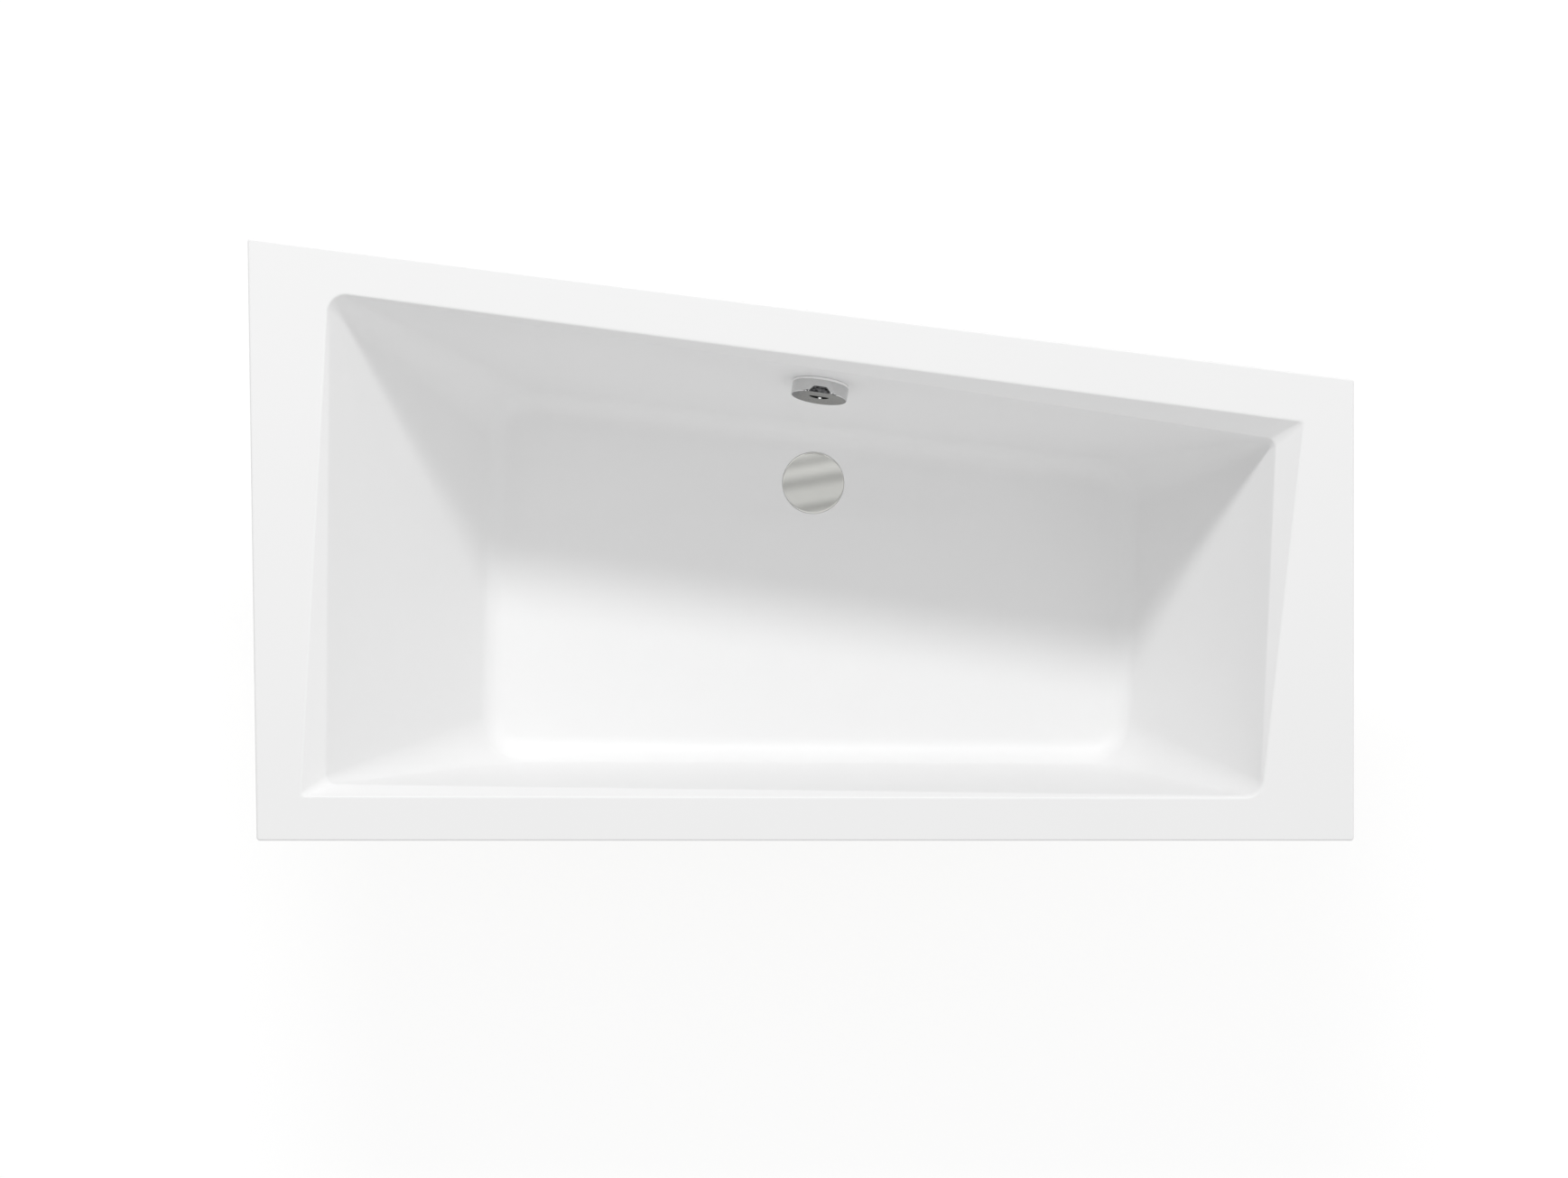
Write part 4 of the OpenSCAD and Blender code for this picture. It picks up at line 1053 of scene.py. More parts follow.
class Mesher:
    """Turns points and profiles into meshes and objects, in metres."""

    @staticmethod
    def object_from(name: str, bm: bmesh.types.BMesh, sharp: float = 35.0) -> Object:
        """Makes a smooth-shaded object from a mesh and frees it.

        Args:
            name: The object's name.
            bm: The mesh.
            sharp: Edges that turn by more than this many degrees stay sharp.

        Returns:
            The new object, linked to the scene.
        """
        bmesh.ops.recalc_face_normals(bm, faces=bm.faces)
        mesh = bpy.data.meshes.new(name)
        bm.to_mesh(mesh)
        bm.free()
        obj = bpy.data.objects.new(name, mesh)
        bpy.context.scene.collection.objects.link(obj)
        Mesher.smooth(obj, sharp)
        return obj

    @staticmethod
    def smooth(obj: Object, sharp: float) -> None:
        """Shades an object smooth, but for edges that turn by more than sharp degrees."""
        obj.data.shade_smooth()
        obj.data.set_sharp_from_angle(angle=math.radians(sharp))

    @staticmethod
    def bridge(bm: bmesh.types.BMesh, a: Row, b: Row) -> None:
        """Joins two closed rows of vertices with quads.

        Args:
            bm: The mesh to add to.
            a: One row.
            b: The other row, with as many vertices.
        """
        n = len(a)
        for j in range(n):
            k = (j + 1) % n
            bm.faces.new((a[j], a[k], b[k], b[j]))

    @staticmethod
    def stack(bm: bmesh.types.BMesh, rings: Sequence[Ring]) -> list[Row]:
        """Joins a stack of rings with quads.

        Args:
            bm: The mesh to add to.
            rings: Rings with equal numbers of points.

        Returns:
            The rings' vertices.
        """
        rows = [[bm.verts.new(p) for p in ring] for ring in rings]
        for upper, lower in zip(rows, rows[1:]):
            Mesher.bridge(bm, upper, lower)
        return rows

    @staticmethod
    def lathe(name: str, profile: Outline, steps: int) -> Object:
        """Turns a profile about the Z axis.

        Args:
            name: The object's name.
            profile: Radius and height of each point, in millimetres.
            steps: Segments round the axis.

        Returns:
            The turned object.
        """
        bm = bmesh.new()
        rows = []
        for radius, z in profile:
            count = steps if radius > NO_RADIUS else 1
            turns = [2 * math.pi * i / steps for i in range(count)]
            r = radius if count > 1 else 0.0
            rows.append(
                [bm.verts.new((r * MM * math.cos(a), r * MM * math.sin(a), z * MM)) for a in turns]
            )
        for lower, upper in zip(rows, rows[1:]):
            for i in range(steps):
                j = (i + 1) % steps
                quad = ((lower, i), (lower, j), (upper, j), (upper, i))
                corners = list(dict.fromkeys(row[at % len(row)] for row, at in quad))
                if len(corners) > 2:
                    bm.faces.new(corners)
        bmesh.ops.remove_doubles(bm, verts=bm.verts, dist=SAME_PLACE)
        return Mesher.object_from(name, bm)

    @staticmethod
    def swept(
        bm: bmesh.types.BMesh, path: Ring, radii: Sequence[float], sides: int, side: Vector
    ) -> None:
        """Sweeps a round section along a path without twist, and closes its ends.

        Args:
            bm: The mesh to add to.
            path: The path's points in metres.
            radii: The section's radius at each point, in metres.
            sides: Segments round the section.
            side: A direction across the path at its start.
        """
        turns = [2 * math.pi * k / sides for k in range(sides)]
        sections = []
        for i, (point, r) in enumerate(zip(path, radii)):
            ahead = path[min(i + 1, len(path) - 1)]
            along = unit(ahead - path[max(i - 1, 0)])
            side = unit(side - along * side.dot(along))
            up = along.cross(side)
            sections.append(
                [point + side * (r * math.cos(a)) + up * (r * math.sin(a)) for a in turns]
            )
        rows = Mesher.stack(bm, sections)
        bm.faces.new(list(reversed(rows[0])))
        bm.faces.new(rows[-1])

    @staticmethod
    def apply(obj: Object) -> None:
        """Turns an object's modifiers into its mesh.

        Args:
            obj: The object, which keeps its name and its materials.
        """
        graph = bpy.context.evaluated_depsgraph_get()
        mesh = bpy.data.meshes.new_from_object(obj.evaluated_get(graph))
        obj.modifiers.clear()
        old = obj.data
        obj.data = mesh
        bpy.data.meshes.remove(old)

    @staticmethod
    def cut(obj: Object, cutters: Sequence[Object], how: Cut) -> None:
        """Applies an object's modifiers and exact booleans, and deletes the cutters.

        Args:
            obj: The object to change.
            cutters: The objects to cut with or to add.
            how: What the booleans do.
        """
        for cutter in cutters:
            modifier = obj.modifiers.new("cut", "BOOLEAN")
            modifier.operation = how.value
            modifier.solver = "EXACT"
            modifier.object = cutter
        Mesher.apply(obj)
        for cutter in cutters:
            shape = cutter.data
            bpy.data.objects.remove(cutter)
            bpy.data.meshes.remove(shape)


def toward(start: Vector, end: Vector, reach: float, share: float) -> Vector:
    """Returns the point at reach from start toward end, or nearer, at share of the way."""
    return start + unit(end - start) * min(reach, (end - start).length * share)


def bezier(a: Vector, corner: Vector, b: Vector, reach: float, steps: int) -> Ring:
    """Rounds the corner of a polyline.

    Args:
        a: The point before the corner.
        corner: The corner.
        b: The point after the corner.
        reach: How far from the corner the rounding starts.
        steps: Its segments.

    Returns:
        The points of the rounding.
    """
    start, end = toward(corner, a, reach, SHORTEST_FLAT), toward(corner, b, reach, SHORTEST_FLAT)
    shares = [i / steps for i in range(steps + 1)]
    return [start * (1 - t) ** 2 + corner * (2 * t * (1 - t)) + end * t**2 for t in shares]


# ---------------------------------------------------------------- the tub's skins


def corner_column(a: Vector, corner: Vector, b: Vector, reach: float, steps: int) -> Ring:
    """Rounds a fold and adds a point on either side, so that the faces beside it stay flat.

    Args:
        a: The point before the fold.
        corner: The fold.
        b: The point after the fold.
        reach: How far from the fold the rounding starts, in millimetres.
        steps: Its segments.

    Returns:
        The points from before the fold to after it.
    """
    hold = reach + FOLD_HOLD
    before, after = toward(corner, a, hold, SHORTEST_HOLD), toward(corner, b, hold, SHORTEST_HOLD)
    return [before, *bezier(a, corner, b, reach, steps), after]


@dataclass
class TubSkin:
    """The acrylic sheet and the laminate behind it, both drawn from the tub's plan.

    Lengths are in millimetres. The pair in seat runs along the overflow's axis. The wave of the
    laminate's edge sums the sizes, steps and starts in trim. A pair in dish_foot is an inset and
    a rise, and dish_reach says how far the dish's cutter goes down, up and aside.
    """

    plan: TubPlan
    waste: tuple[float, float] = (872, 560)
    dish_d: float = 100.9
    dish_edge: float = 0.4
    boss_d: float = 114
    dish_depth: float = 7
    waste_hole_d: float = 52
    overflow_hole_d: float = 60
    seat_over: float = 11
    seat: tuple[float, float] = (-60, -8.1)
    edge_steps: int = 6
    edge_hold: float = 1.5
    lip_edge: float = 1
    lip_corner: float = 1.5
    deck_corner: float = 0.6
    deck_hold: float = 9
    floor_hold: float = 5
    fold_reach: float = 3.0
    upper_fold: float = 0.9
    wall_steps: int = 12
    fillet_steps: int = 10
    laminate_gap: float = 0.3
    laminate_coat: float = 4
    laminate_start: float = 0.05
    trim_middle: float = 0.022
    trim: tuple[tuple[float, float, float], ...] = ((0.010, 0.37, 0), (0.007, 0.91, 1))
    boss_gap: float = 1
    waste_reach: float = 400
    dish_foot: tuple[tuple[float, float], ...] = ((1.5, 0), (0.4, 0.45), (0, 1.5))
    dish_turns: range = range(6, 79, 12)
    dish_over: float = 0.6
    dish_reach: tuple[float, float, float] = (60, 30, 3)
    dish_steps: int = 128
    turned_steps: int = 96
    past: float = 50
    sharp: float = 28

    def to_row(self, rings: Sequence[Ring]) -> list[Ring]:
        """Returns rings moved into the row frame, in metres."""
        middle = self.plan.middle
        return [[(p - middle) * MM for p in ring] for ring in rings]

    def at_waste(self) -> Matrix:
        """Finds the waste's axis.

        Returns:
            Its place at height 0 in the row frame, in metres.
        """
        x, y = self.waste
        middle = self.plan.middle
        return Matrix.Translation(((x - middle.x) * MM, (y - middle.y) * MM, 0))

    def rim_ring(self, inset: float, z: float, corner: float) -> Ring:
        """Returns a level ring that lies inset inside the rim, with its own corners' rounding."""
        return self.plan.mesh.flat(grown(self.plan.rim_corners, -inset), [corner] * 4, z)

    def deck_ring(self, out: float, z: float) -> Ring:
        """Returns a level ring that lies out outside the opening in the deck."""
        radii = [r + out for r in self.plan.open_radii]
        return self.plan.mesh.flat(grown(self.plan.open_corners, out), radii, z)

    def rim_rings(self) -> list[Ring]:
        """Draws the rings from the lip's foot over the outer edge to the deck.

        Returns:
            The rings, from the foot up.
        """
        plan, r, lip = self.plan, self.plan.edge_radius, self.lip_edge
        top, corner = plan.rim_height, plan.rim_corner_radius
        foot = top - plan.lip_height
        rings = [
            self.rim_ring(lip, foot, corner - lip),
            self.rim_ring(0, foot + lip, corner),
            self.rim_ring(0, top - r - self.edge_hold, corner),
        ]
        for i in range(self.edge_steps + 1):
            a = math.pi / 2 * i / self.edge_steps
            inset = r * (1 - math.cos(a))
            rings.append(self.rim_ring(inset, top - r + r * math.sin(a), corner - inset))
        rings.append(self.rim_ring(r + self.edge_hold, top, self.deck_corner))
        return rings

    def upper_rings(self) -> list[Ring]:
        """Draws the rings of the visible side, from the lip's foot to the floor.

        Returns:
            The rings, from the foot over the deck and down.
        """
        plan = self.plan
        top, r = plan.rim_height, plan.edge_radius
        rings = self.rim_rings()
        deck, fold = self.deck_ring(r + self.deck_hold, top), self.deck_ring(r, top)
        edge, low = plan.basin_edge(0), plan.fillet_ring(0, 0)
        columns = []
        for d, f, e, w in zip(deck, fold, edge, low):
            column = [d]
            column += corner_column(d, f, e, self.fold_reach * self.upper_fold, self.edge_steps)
            column += corner_column(f, e, w, self.fold_reach, self.edge_steps)
            column += [mix(e, w, i / self.wall_steps) for i in range(1, self.wall_steps)]
            columns.append(column)
        rings += [list(ring) for ring in zip(*columns)]
        rings += [plan.fillet_ring(i / self.fillet_steps, 0) for i in range(self.fillet_steps + 1)]
        rings.append(plan.floor_ring(self.floor_hold))
        return rings

    def outer_rings(self, thick: float, start: float) -> list[Ring]:
        """Draws rings outside the basin, from its floor up to part start of the walls.

        Args:
            thick: How far the rings lie outside the basin's surface.
            start: The part of the walls' height where the rings end.

        Returns:
            The rings, from the floor up.
        """
        top = self.plan.basin_edge(thick)
        low = self.plan.fillet_ring(0, thick)
        steps = self.fillet_steps
        rings = [self.plan.fillet_ring(1 - i / steps, thick) for i in range(steps + 1)]
        for i in range(1, self.wall_steps + 1):
            t = mix(1.0, start, i / self.wall_steps)
            rings.append([mix(a, b, t) for a, b in zip(top, low)])
        return rings

    def overflow_frame(self) -> Matrix:
        """Finds the overflow from the knob's joint.

        Returns:
            Its frame in metres: +Z into the basin, +Y up the wall.
        """
        joint = next(j for j in frame["joints"] if j["name"] == "knob_turn")
        z = unit(Vector(joint["axis"]))
        x = unit(Vector((0, 0, 1)).cross(z))
        turn = Matrix((x, z.cross(x), z)).transposed().to_4x4()
        return Matrix.Translation(joint["pos_m"]) @ turn

    def waste_cutter(self) -> Object:
        """Turns the shape of the dish, with its rounded edge and the hole in it.

        Returns:
            The cutter, which reaches well past the sheet on both sides.
        """
        floor, r, soft = self.plan.floor_z, self.dish_d / 2, self.dish_edge
        dish, hole = floor - self.dish_depth, self.waste_hole_d / 2
        down, up, aside = self.dish_reach
        below, above, out = dish - down, floor + up, r + soft + aside
        profile = [(0, below), (hole, below), (hole, dish)]
        profile += [(r - inset, dish + rise) for inset, rise in self.dish_foot]
        for degrees in self.dish_turns:
            a = math.radians(degrees)
            profile.append((r + soft - soft * math.cos(a), floor - soft + soft * math.sin(a)))
        profile += [(out, floor + self.dish_over), (out, above), (0, above)]
        cutter = Mesher.lathe("cutter", profile, self.dish_steps)
        cutter.data.transform(self.at_waste())
        return cutter

    def plain_cutter(self, place: Matrix, r: float, low: float, high: float) -> Object:
        """Makes a cylinder along the local Z of a place.

        Args:
            place: The place.
            r: The cylinder's radius.
            low: Where it starts.
            high: Where it ends.

        Returns:
            The cylinder.
        """
        profile = [(0, low), (r, low), (r, high), (0, high)]
        cutter = Mesher.lathe("cutter", profile, self.turned_steps)
        cutter.data.transform(place)
        return cutter

    def overflow_cutter(self) -> Object:
        """Returns the overflow's hole, which reaches past the wall on both sides."""
        place, past = self.overflow_frame(), self.past
        return self.plain_cutter(place, self.overflow_hole_d / 2, -past, past)

    def skin(self, name: str, upper: list[Ring], under: list[Ring]) -> Object:
        """Makes a closed skin from its two sides, which meet across its edge.

        Args:
            name: The object's name.
            upper: Rings of the inner side, ending at the floor.
            under: Rings of the outer side, starting at the floor.

        Returns:
            The skin.
        """
        bm = bmesh.new()
        rows = Mesher.stack(bm, self.to_row(upper))
        others = Mesher.stack(bm, self.to_row(under))
        bm.faces.new(rows[-1])
        bm.faces.new(others[0])
        Mesher.bridge(bm, others[-1], rows[0])
        return Mesher.object_from(name, bm, self.sharp)

    def build_shell(self) -> Object:
        """Builds the acrylic sheet with its dish and holes.

        Returns:
            The sheet, in its place.
        """
        plan, skin = self.plan, self.plan.skin
        top, foot = plan.rim_height, plan.rim_height - plan.lip_height
        under = self.outer_rings(skin, 0.0) + [self.deck_ring(skin, top - skin)]
        under += [self.rim_ring(skin, z, self.lip_corner) for z in (top - skin, foot)]
        shell = self.skin("acrylic_shell", self.upper_rings(), under)
        boss_low = plan.floor_z - self.dish_depth - skin
        boss_high = plan.floor_z - skin / 2
        boss = self.plain_cutter(self.at_waste(), self.boss_d / 2, boss_low, boss_high)
        Mesher.cut(shell, [boss], Cut.UNION)
        Mesher.cut(shell, [self.waste_cutter(), self.overflow_cutter()], Cut.DIFFERENCE)
        Mesher.smooth(shell, self.sharp)
        return shell

    def trim_wave(self, j: int) -> float:
        """Returns how far down the wall the laminate's hand-cut edge lies at column j."""
        waves = (size * math.sin(j * step + start) for size, step, start in self.trim)
        return sum(waves, start=self.trim_middle)

    def build_laminate(self) -> Object:
        """Builds the laminate with its wavy upper edge and its openings.

        Returns:
            The laminate, in its place.
        """
        start, inside = self.laminate_start, self.plan.skin + self.laminate_gap
        outside = inside + self.laminate_coat
        inner = list(reversed(self.outer_rings(inside, start)))
        outer = self.outer_rings(outside, start)
        for rings, at, thick in ((inner, 0, inside), (outer, -1, outside)):
            ends = zip(self.plan.basin_edge(thick), self.plan.fillet_ring(0, thick))
            rings[at] = [mix(a, b, start + self.trim_wave(j)) for j, (a, b) in enumerate(ends)]
        laminate = self.skin("fibre_laminate", inner, outer)
        waste_r = self.boss_d / 2 + self.boss_gap
        seat_r = self.overflow_hole_d / 2 + self.seat_over
        waste = self.plain_cutter(self.at_waste(), waste_r, 0, self.waste_reach)
        seat = self.plain_cutter(self.overflow_frame(), seat_r, *self.seat)
        Mesher.cut(laminate, [waste, self.overflow_cutter(), seat], Cut.DIFFERENCE)
        Mesher.smooth(laminate, self.sharp)
        return laminate


# ---------------------------------------------------------------- fittings


@dataclass
class OverflowKnob:
    """The rotary knob: a shallow metal cup with a finger notch and a slot in its face.

    Lengths are in millimetres in the overflow's frame. Cutters reach past a surface by past,
    and faces within near of a plane count as lying in it.
    """

    place: Matrix
    radius: float = 44
    gap: float = 4
    face: float = 24
    wall: float = 3
    rim: float = 11
    edge: float = 2
    edge_steps: int = 5
    soft: float = 0.3
    face_rings: tuple[float, ...] = (0.7, 0.35, 0)
    painted_glint_half: float = 25
    skirt_r: float = 43.6
    skirt_low: float = 0.4
    skirt_wall: float = 4
    skirt_step: float = 0.1
    boss_r: float = 9
    boss_in: float = 2
    bore_r: float = 4
    notch_wide: float = 38
    notch_narrow: float = 20
    notch_deep: float = 6.5
    notch_high: float = 9
    notch_reach: float = 2.5
    notch_bevel: float = 1.3
    bevel_angle: float = 50
    slot_half: float = 15.5
    slot_y: float = 10.5
    slot_over: float = 2
    slot_under: float = 15
    slot_depth: float = 1.5
    slot_steps: int = 16
    screw_at: tuple[float, float] = (1.5, -1.5)
    screw_r: float = 2.8
    screw_high: float = 2.4
    screw_foot: float = 0.5
    screw_turns: range = range(0, 91, 15)
    screw_sides: int = 32
    past: float = 1
    near: float = 0.05
    turned_steps: int = 160
    sharp: float = 32

    def cup(self) -> Object:
        """Turns the cup with softened edges and the pale skirt behind its band.

        Returns:
            The cup, without its notch and its slot.
        """
        r, f, gap, edge, soft = self.radius, self.face, self.gap, self.edge, self.soft
        out, low, skirt_in = self.skirt_r, self.skirt_low, self.skirt_r - self.skirt_wall
        back, boss, rim_in = f - self.wall, gap + self.boss_in, r - self.rim
        profile = [(skirt_in, low), (out - soft, low), (out, low + soft)]
        profile += [(out, gap - self.skirt_step), (r - soft, gap), (r, gap + soft)]
        for i in range(self.edge_steps + 1):
            a = math.pi / 2 * i / self.edge_steps
            profile.append((r - edge + edge * math.cos(a), f - edge + edge * math.sin(a)))
        profile += [(r * share, f) for share in self.face_rings]
        profile += [(0, back), (self.bore_r, back)]
        profile += [(self.bore_r, boss), (self.boss_r, boss), (self.boss_r, back)]
        profile += [(rim_in, back), (rim_in, gap), (skirt_in, gap), profile[0]]
        return Mesher.lathe("knob_cup", profile, self.turned_steps)

    @staticmethod
    def prism(outline: Outline, place: Matrix, deep: float) -> Object:
        """Makes a prism.

        Args:
            outline: Its outline, in millimetres.
            place: The outline's place.
            deep: Its length along the local Z of the place, in millimetres.

        Returns:
            The prism.
        """
        bm = bmesh.new()
        low = [Vector((x, y, 0)) * MM for x, y in outline]
        high = [p + Vector((0, 0, deep * MM)) for p in low]
        rows = Mesher.stack(bm, [low, high])
        bm.faces.new(rows[0])
        bm.faces.new(rows[1])
        prism = Mesher.object_from("cutter", bm)
        prism.data.transform(place)
        return prism

    def notch(self) -> Object:
        """Draws the cutter of the finger notch, with rounded inner corners.

        Returns:
            The cutter, which reaches past the band and the face.
        """
        wide, narrow = self.notch_wide / 2, self.notch_narrow / 2
        high, past = self.notch_high, self.past
        ends = ((-wide, past), (-narrow, -high), (narrow, -high), (wide, past))
        corners = [Vector(p) for p in ends]
        outline = [corners[0]]
        for k in (1, 2):
            outline += bezier(*corners[k - 1 : k + 2], self.notch_reach, self.edge_steps)
        outline.append(corners[3])
        turn = Matrix.Rotation(math.pi / 2, 4, "X")
        place = Matrix.Translation((0, (self.radius + past) * MM, self.face * MM)) @ turn
        return self.prism([(p.x, p.y) for p in outline], place, self.notch_deep)

    def slot(self) -> Object:
        """Draws the cutter of the slot, which is nearly straight above and round below.

        Returns:
            The cutter, which reaches past the face.
        """
        half, floor = self.slot_half, self.face - self.slot_depth
        outline = []
        for bulge, sign in ((self.slot_over, 1), (self.slot_under, -1)):
            r = (half * half + bulge * bulge) / (2 * bulge)
            for i in range(self.slot_steps):
                x = -sign * half * math.cos(math.pi * i / self.slot_steps)
                outline.append((x, sign * (bulge - r + math.sqrt(max(r * r - x * x, 0)))))
        place = Matrix.Translation((0, self.slot_y * MM, floor * MM))
        return self.prism(outline, place, self.slot_depth + 2 * self.past)

    def screw(self) -> Object:
        """Turns the small domed screw end in the slot.

        Returns:
            The screw end, which starts below the slot's floor.
        """
        r, floor, foot = self.screw_r, self.face - self.slot_depth, self.screw_foot
        profile = [(0, floor - foot), (r, floor - foot)]
        for degrees in self.screw_turns:
            a = math.radians(degrees)
            profile.append((r * math.cos(a), floor + self.screw_high * math.sin(a)))
        screw = Mesher.lathe("screw", profile, self.screw_sides)
        x, y = self.screw_at
        screw.data.transform(Matrix.Translation((x * MM, y * MM, 0)))
        return screw

    def finish_at(self, point: Vector) -> KnobFinish:
        """Names the finish of a face of the knob.

        Args:
            point: The face's middle in the knob's frame, in metres.

        Returns:
            The finish.
        """
        x, y, z = point / MM
        face, near, floor = self.face, self.near, self.face - self.slot_depth
        out = math.hypot(x, y)
        in_slot = abs(x) < self.slot_half and out < self.radius - self.rim
        if z < self.gap + 2 * near:
            return KnobFinish.SKIRT
        if z > floor and math.dist((x, y), self.screw_at) < self.screw_r:
            return KnobFinish.SCREW
        # The slot's inside takes the matte near-black finish, which is painted shade.
        if in_slot and face - near > z > floor - near:
            return KnobFinish.SLOT
        # The face takes its darkened colour, which is painted shade.
        if z > face - near:
            return KnobFinish.FACE
        if out > self.radius - self.edge:
            # The rim's strip above the notch takes the edge finish, whose bright spots are painted glints.
            painted_glint_edge = y > 0 and abs(x) < self.painted_glint_half and z > face - self.edge
            return KnobFinish.EDGE if painted_glint_edge else KnobFinish.BAND
        # The notch's inside takes the recess finish, which is painted shade.
        in_notch = abs(x) < self.notch_wide / 2 + self.past
        deep_enough = z > face - self.notch_high - 2 * near
        return KnobFinish.RECESS if y > 0 and in_notch and deep_enough else KnobFinish.BAND

    def build(self, materials: dict[KnobFinish, bpy.types.Material]) -> Object:
        """Builds the knob in its place.

        Args:
            materials: The material of each of its finishes.

        Returns:
            The knob, with its materials on it.
        """
        knob = self.cup()
        order = list(KnobFinish)
        for finish in order:
            knob.data.materials.append(materials[finish])
        Mesher.cut(knob, [self.notch()], Cut.DIFFERENCE)
        # The bevels take the edge finish, whose bright spots are painted glints.
        painted_glint_edge = order.index(KnobFinish.EDGE)
        bevel = knob.modifiers.new("soft_edges", "BEVEL")
        bevel.width = self.notch_bevel * MM
        bevel.segments = 2
        bevel.limit_method = "ANGLE"
        bevel.angle_limit = math.radians(self.bevel_angle)
        bevel.material = painted_glint_edge
        Mesher.cut(knob, [self.slot()], Cut.DIFFERENCE)
        Mesher.cut(knob, [self.screw()], Cut.UNION)
        for face in knob.data.polygons:
            if face.material_index != painted_glint_edge:
                face.material_index = order.index(self.finish_at(face.center))
        Mesher.smooth(knob, self.sharp)
        knob.modifiers.new("flat_faces", "WEIGHTED_NORMAL").keep_sharp = True
        Mesher.apply(knob)
        knob.data.transform(self.place)
        knob.name = "overflow_turning_knob"
        return knob


@dataclass
class PlugCover:
    """The domed cover that lies in the dish over the waste.

    A pair in low_edge or top_edge is an inset from the radius and a distance from that edge.
    """

    place: Matrix
    radius: float = 50
    low: float = 167
    edge: float = 2.5
    dome: float = 2.5
    neck_r: float = 16
    neck_low: float = 159
    neck_edge: float = 0.5
    neck_flare: float = 1
    low_edge: tuple[tuple[float, float], ...] = ((1.2, 0), (0.4, 0.3), (0, 1.0))
    top_edge: tuple[tuple[float, float], ...] = ((0, 0.3), (0.09, 0.09), (0.3, 0))
    dome_in: float = 0.6
    dome_steps: int = 24
    turned_steps: int = 160

    def build(self) -> Object:
        """Builds the cover.

        Returns:
            The cover, in its place.
        """
        r, low, top = self.radius, self.low, self.low + self.edge
        neck, foot, soft = self.neck_r, self.neck_low, self.neck_edge
        ball = (r * r + self.dome * self.dome) / (2 * self.dome)
        profile = [(0, foot), (neck - soft, foot), (neck, foot + soft)]
        profile += [(neck, low - self.neck_flare), (neck + self.neck_flare, low)]
        profile += [(r - inset, low + rise) for inset, rise in self.low_edge]
        profile += [(r - inset, top - drop) for inset, drop in self.top_edge]
        for i in range(self.dome_steps + 1):
            x = (r - self.dome_in) * (1 - i / self.dome_steps)
            profile.append((x, top + self.dome - ball + math.sqrt(ball * ball - x * x)))
        cover = Mesher.lathe("drain_cover", profile, self.turned_steps)
        cover.data.transform(self.place)
        return cover


@dataclass
class ThreadedRod:
    """A levelling foot's rod with its real helical thread.

    A pair in shape is a part of the pitch and the part of the thread's depth reached there.
    """

    place: Matrix
    radius: float = 6
    low: float = 7
    high: float = 195
    pitch: float = 1.75
    depth: float = 0.75
    shape: tuple[tuple[float, float], ...] = ((0.0, 0.0), (0.12, 0.0), (0.5, 1.0), (0.62, 1.0))
    chamfer: float = 1.2
    columns: int = 28
    sharp: float = 40
    same_place: float = 1e-6

    def column(self, i: int) -> Ring:
        """Draws the thread's profile at one angle.

        Args:
            i: The column's number round the rod.

        Returns:
            The points from the rod's foot to its top, in metres.
        """
        angle = 2 * math.pi * i / self.columns
        points = []
        for turn in range(int((self.high - self.low) / self.pitch) + 2):
            for rise, drop in self.shape:
                z = self.low + self.pitch * (turn - 1 + rise + i / self.columns)
                z = min(max(z, self.low), self.high)
                past = max(0.0, z - (self.high - self.chamfer))
                r = min(self.radius - self.depth * drop, self.radius - past) * MM
                points.append(Vector((r * math.cos(angle), r * math.sin(angle), z * MM)))
        return points

    def build(self, name: str) -> Object:
        """Builds the rod.

        Args:
            name: The object's name.

        Returns:
            The rod, in its place.
        """
        bm = bmesh.new()
        grid = [[bm.verts.new(p) for p in self.column(i)] for i in range(self.columns)]
        for i, near in enumerate(grid):
            far = grid[(i + 1) % self.columns]
            shift = len(self.shape) if i == self.columns - 1 else 0
            for j in range(len(near) - 1 - shift):
                bm.faces.new((near[j], far[j + shift], far[j + shift + 1], near[j + 1]))
        bm.faces.new([column[-1] for column in grid])
        bmesh.ops.remove_doubles(bm, verts=bm.verts, dist=self.same_place)
        rod = Mesher.object_from(name, bm, self.sharp)
        rod.data.transform(self.place)
        return rod


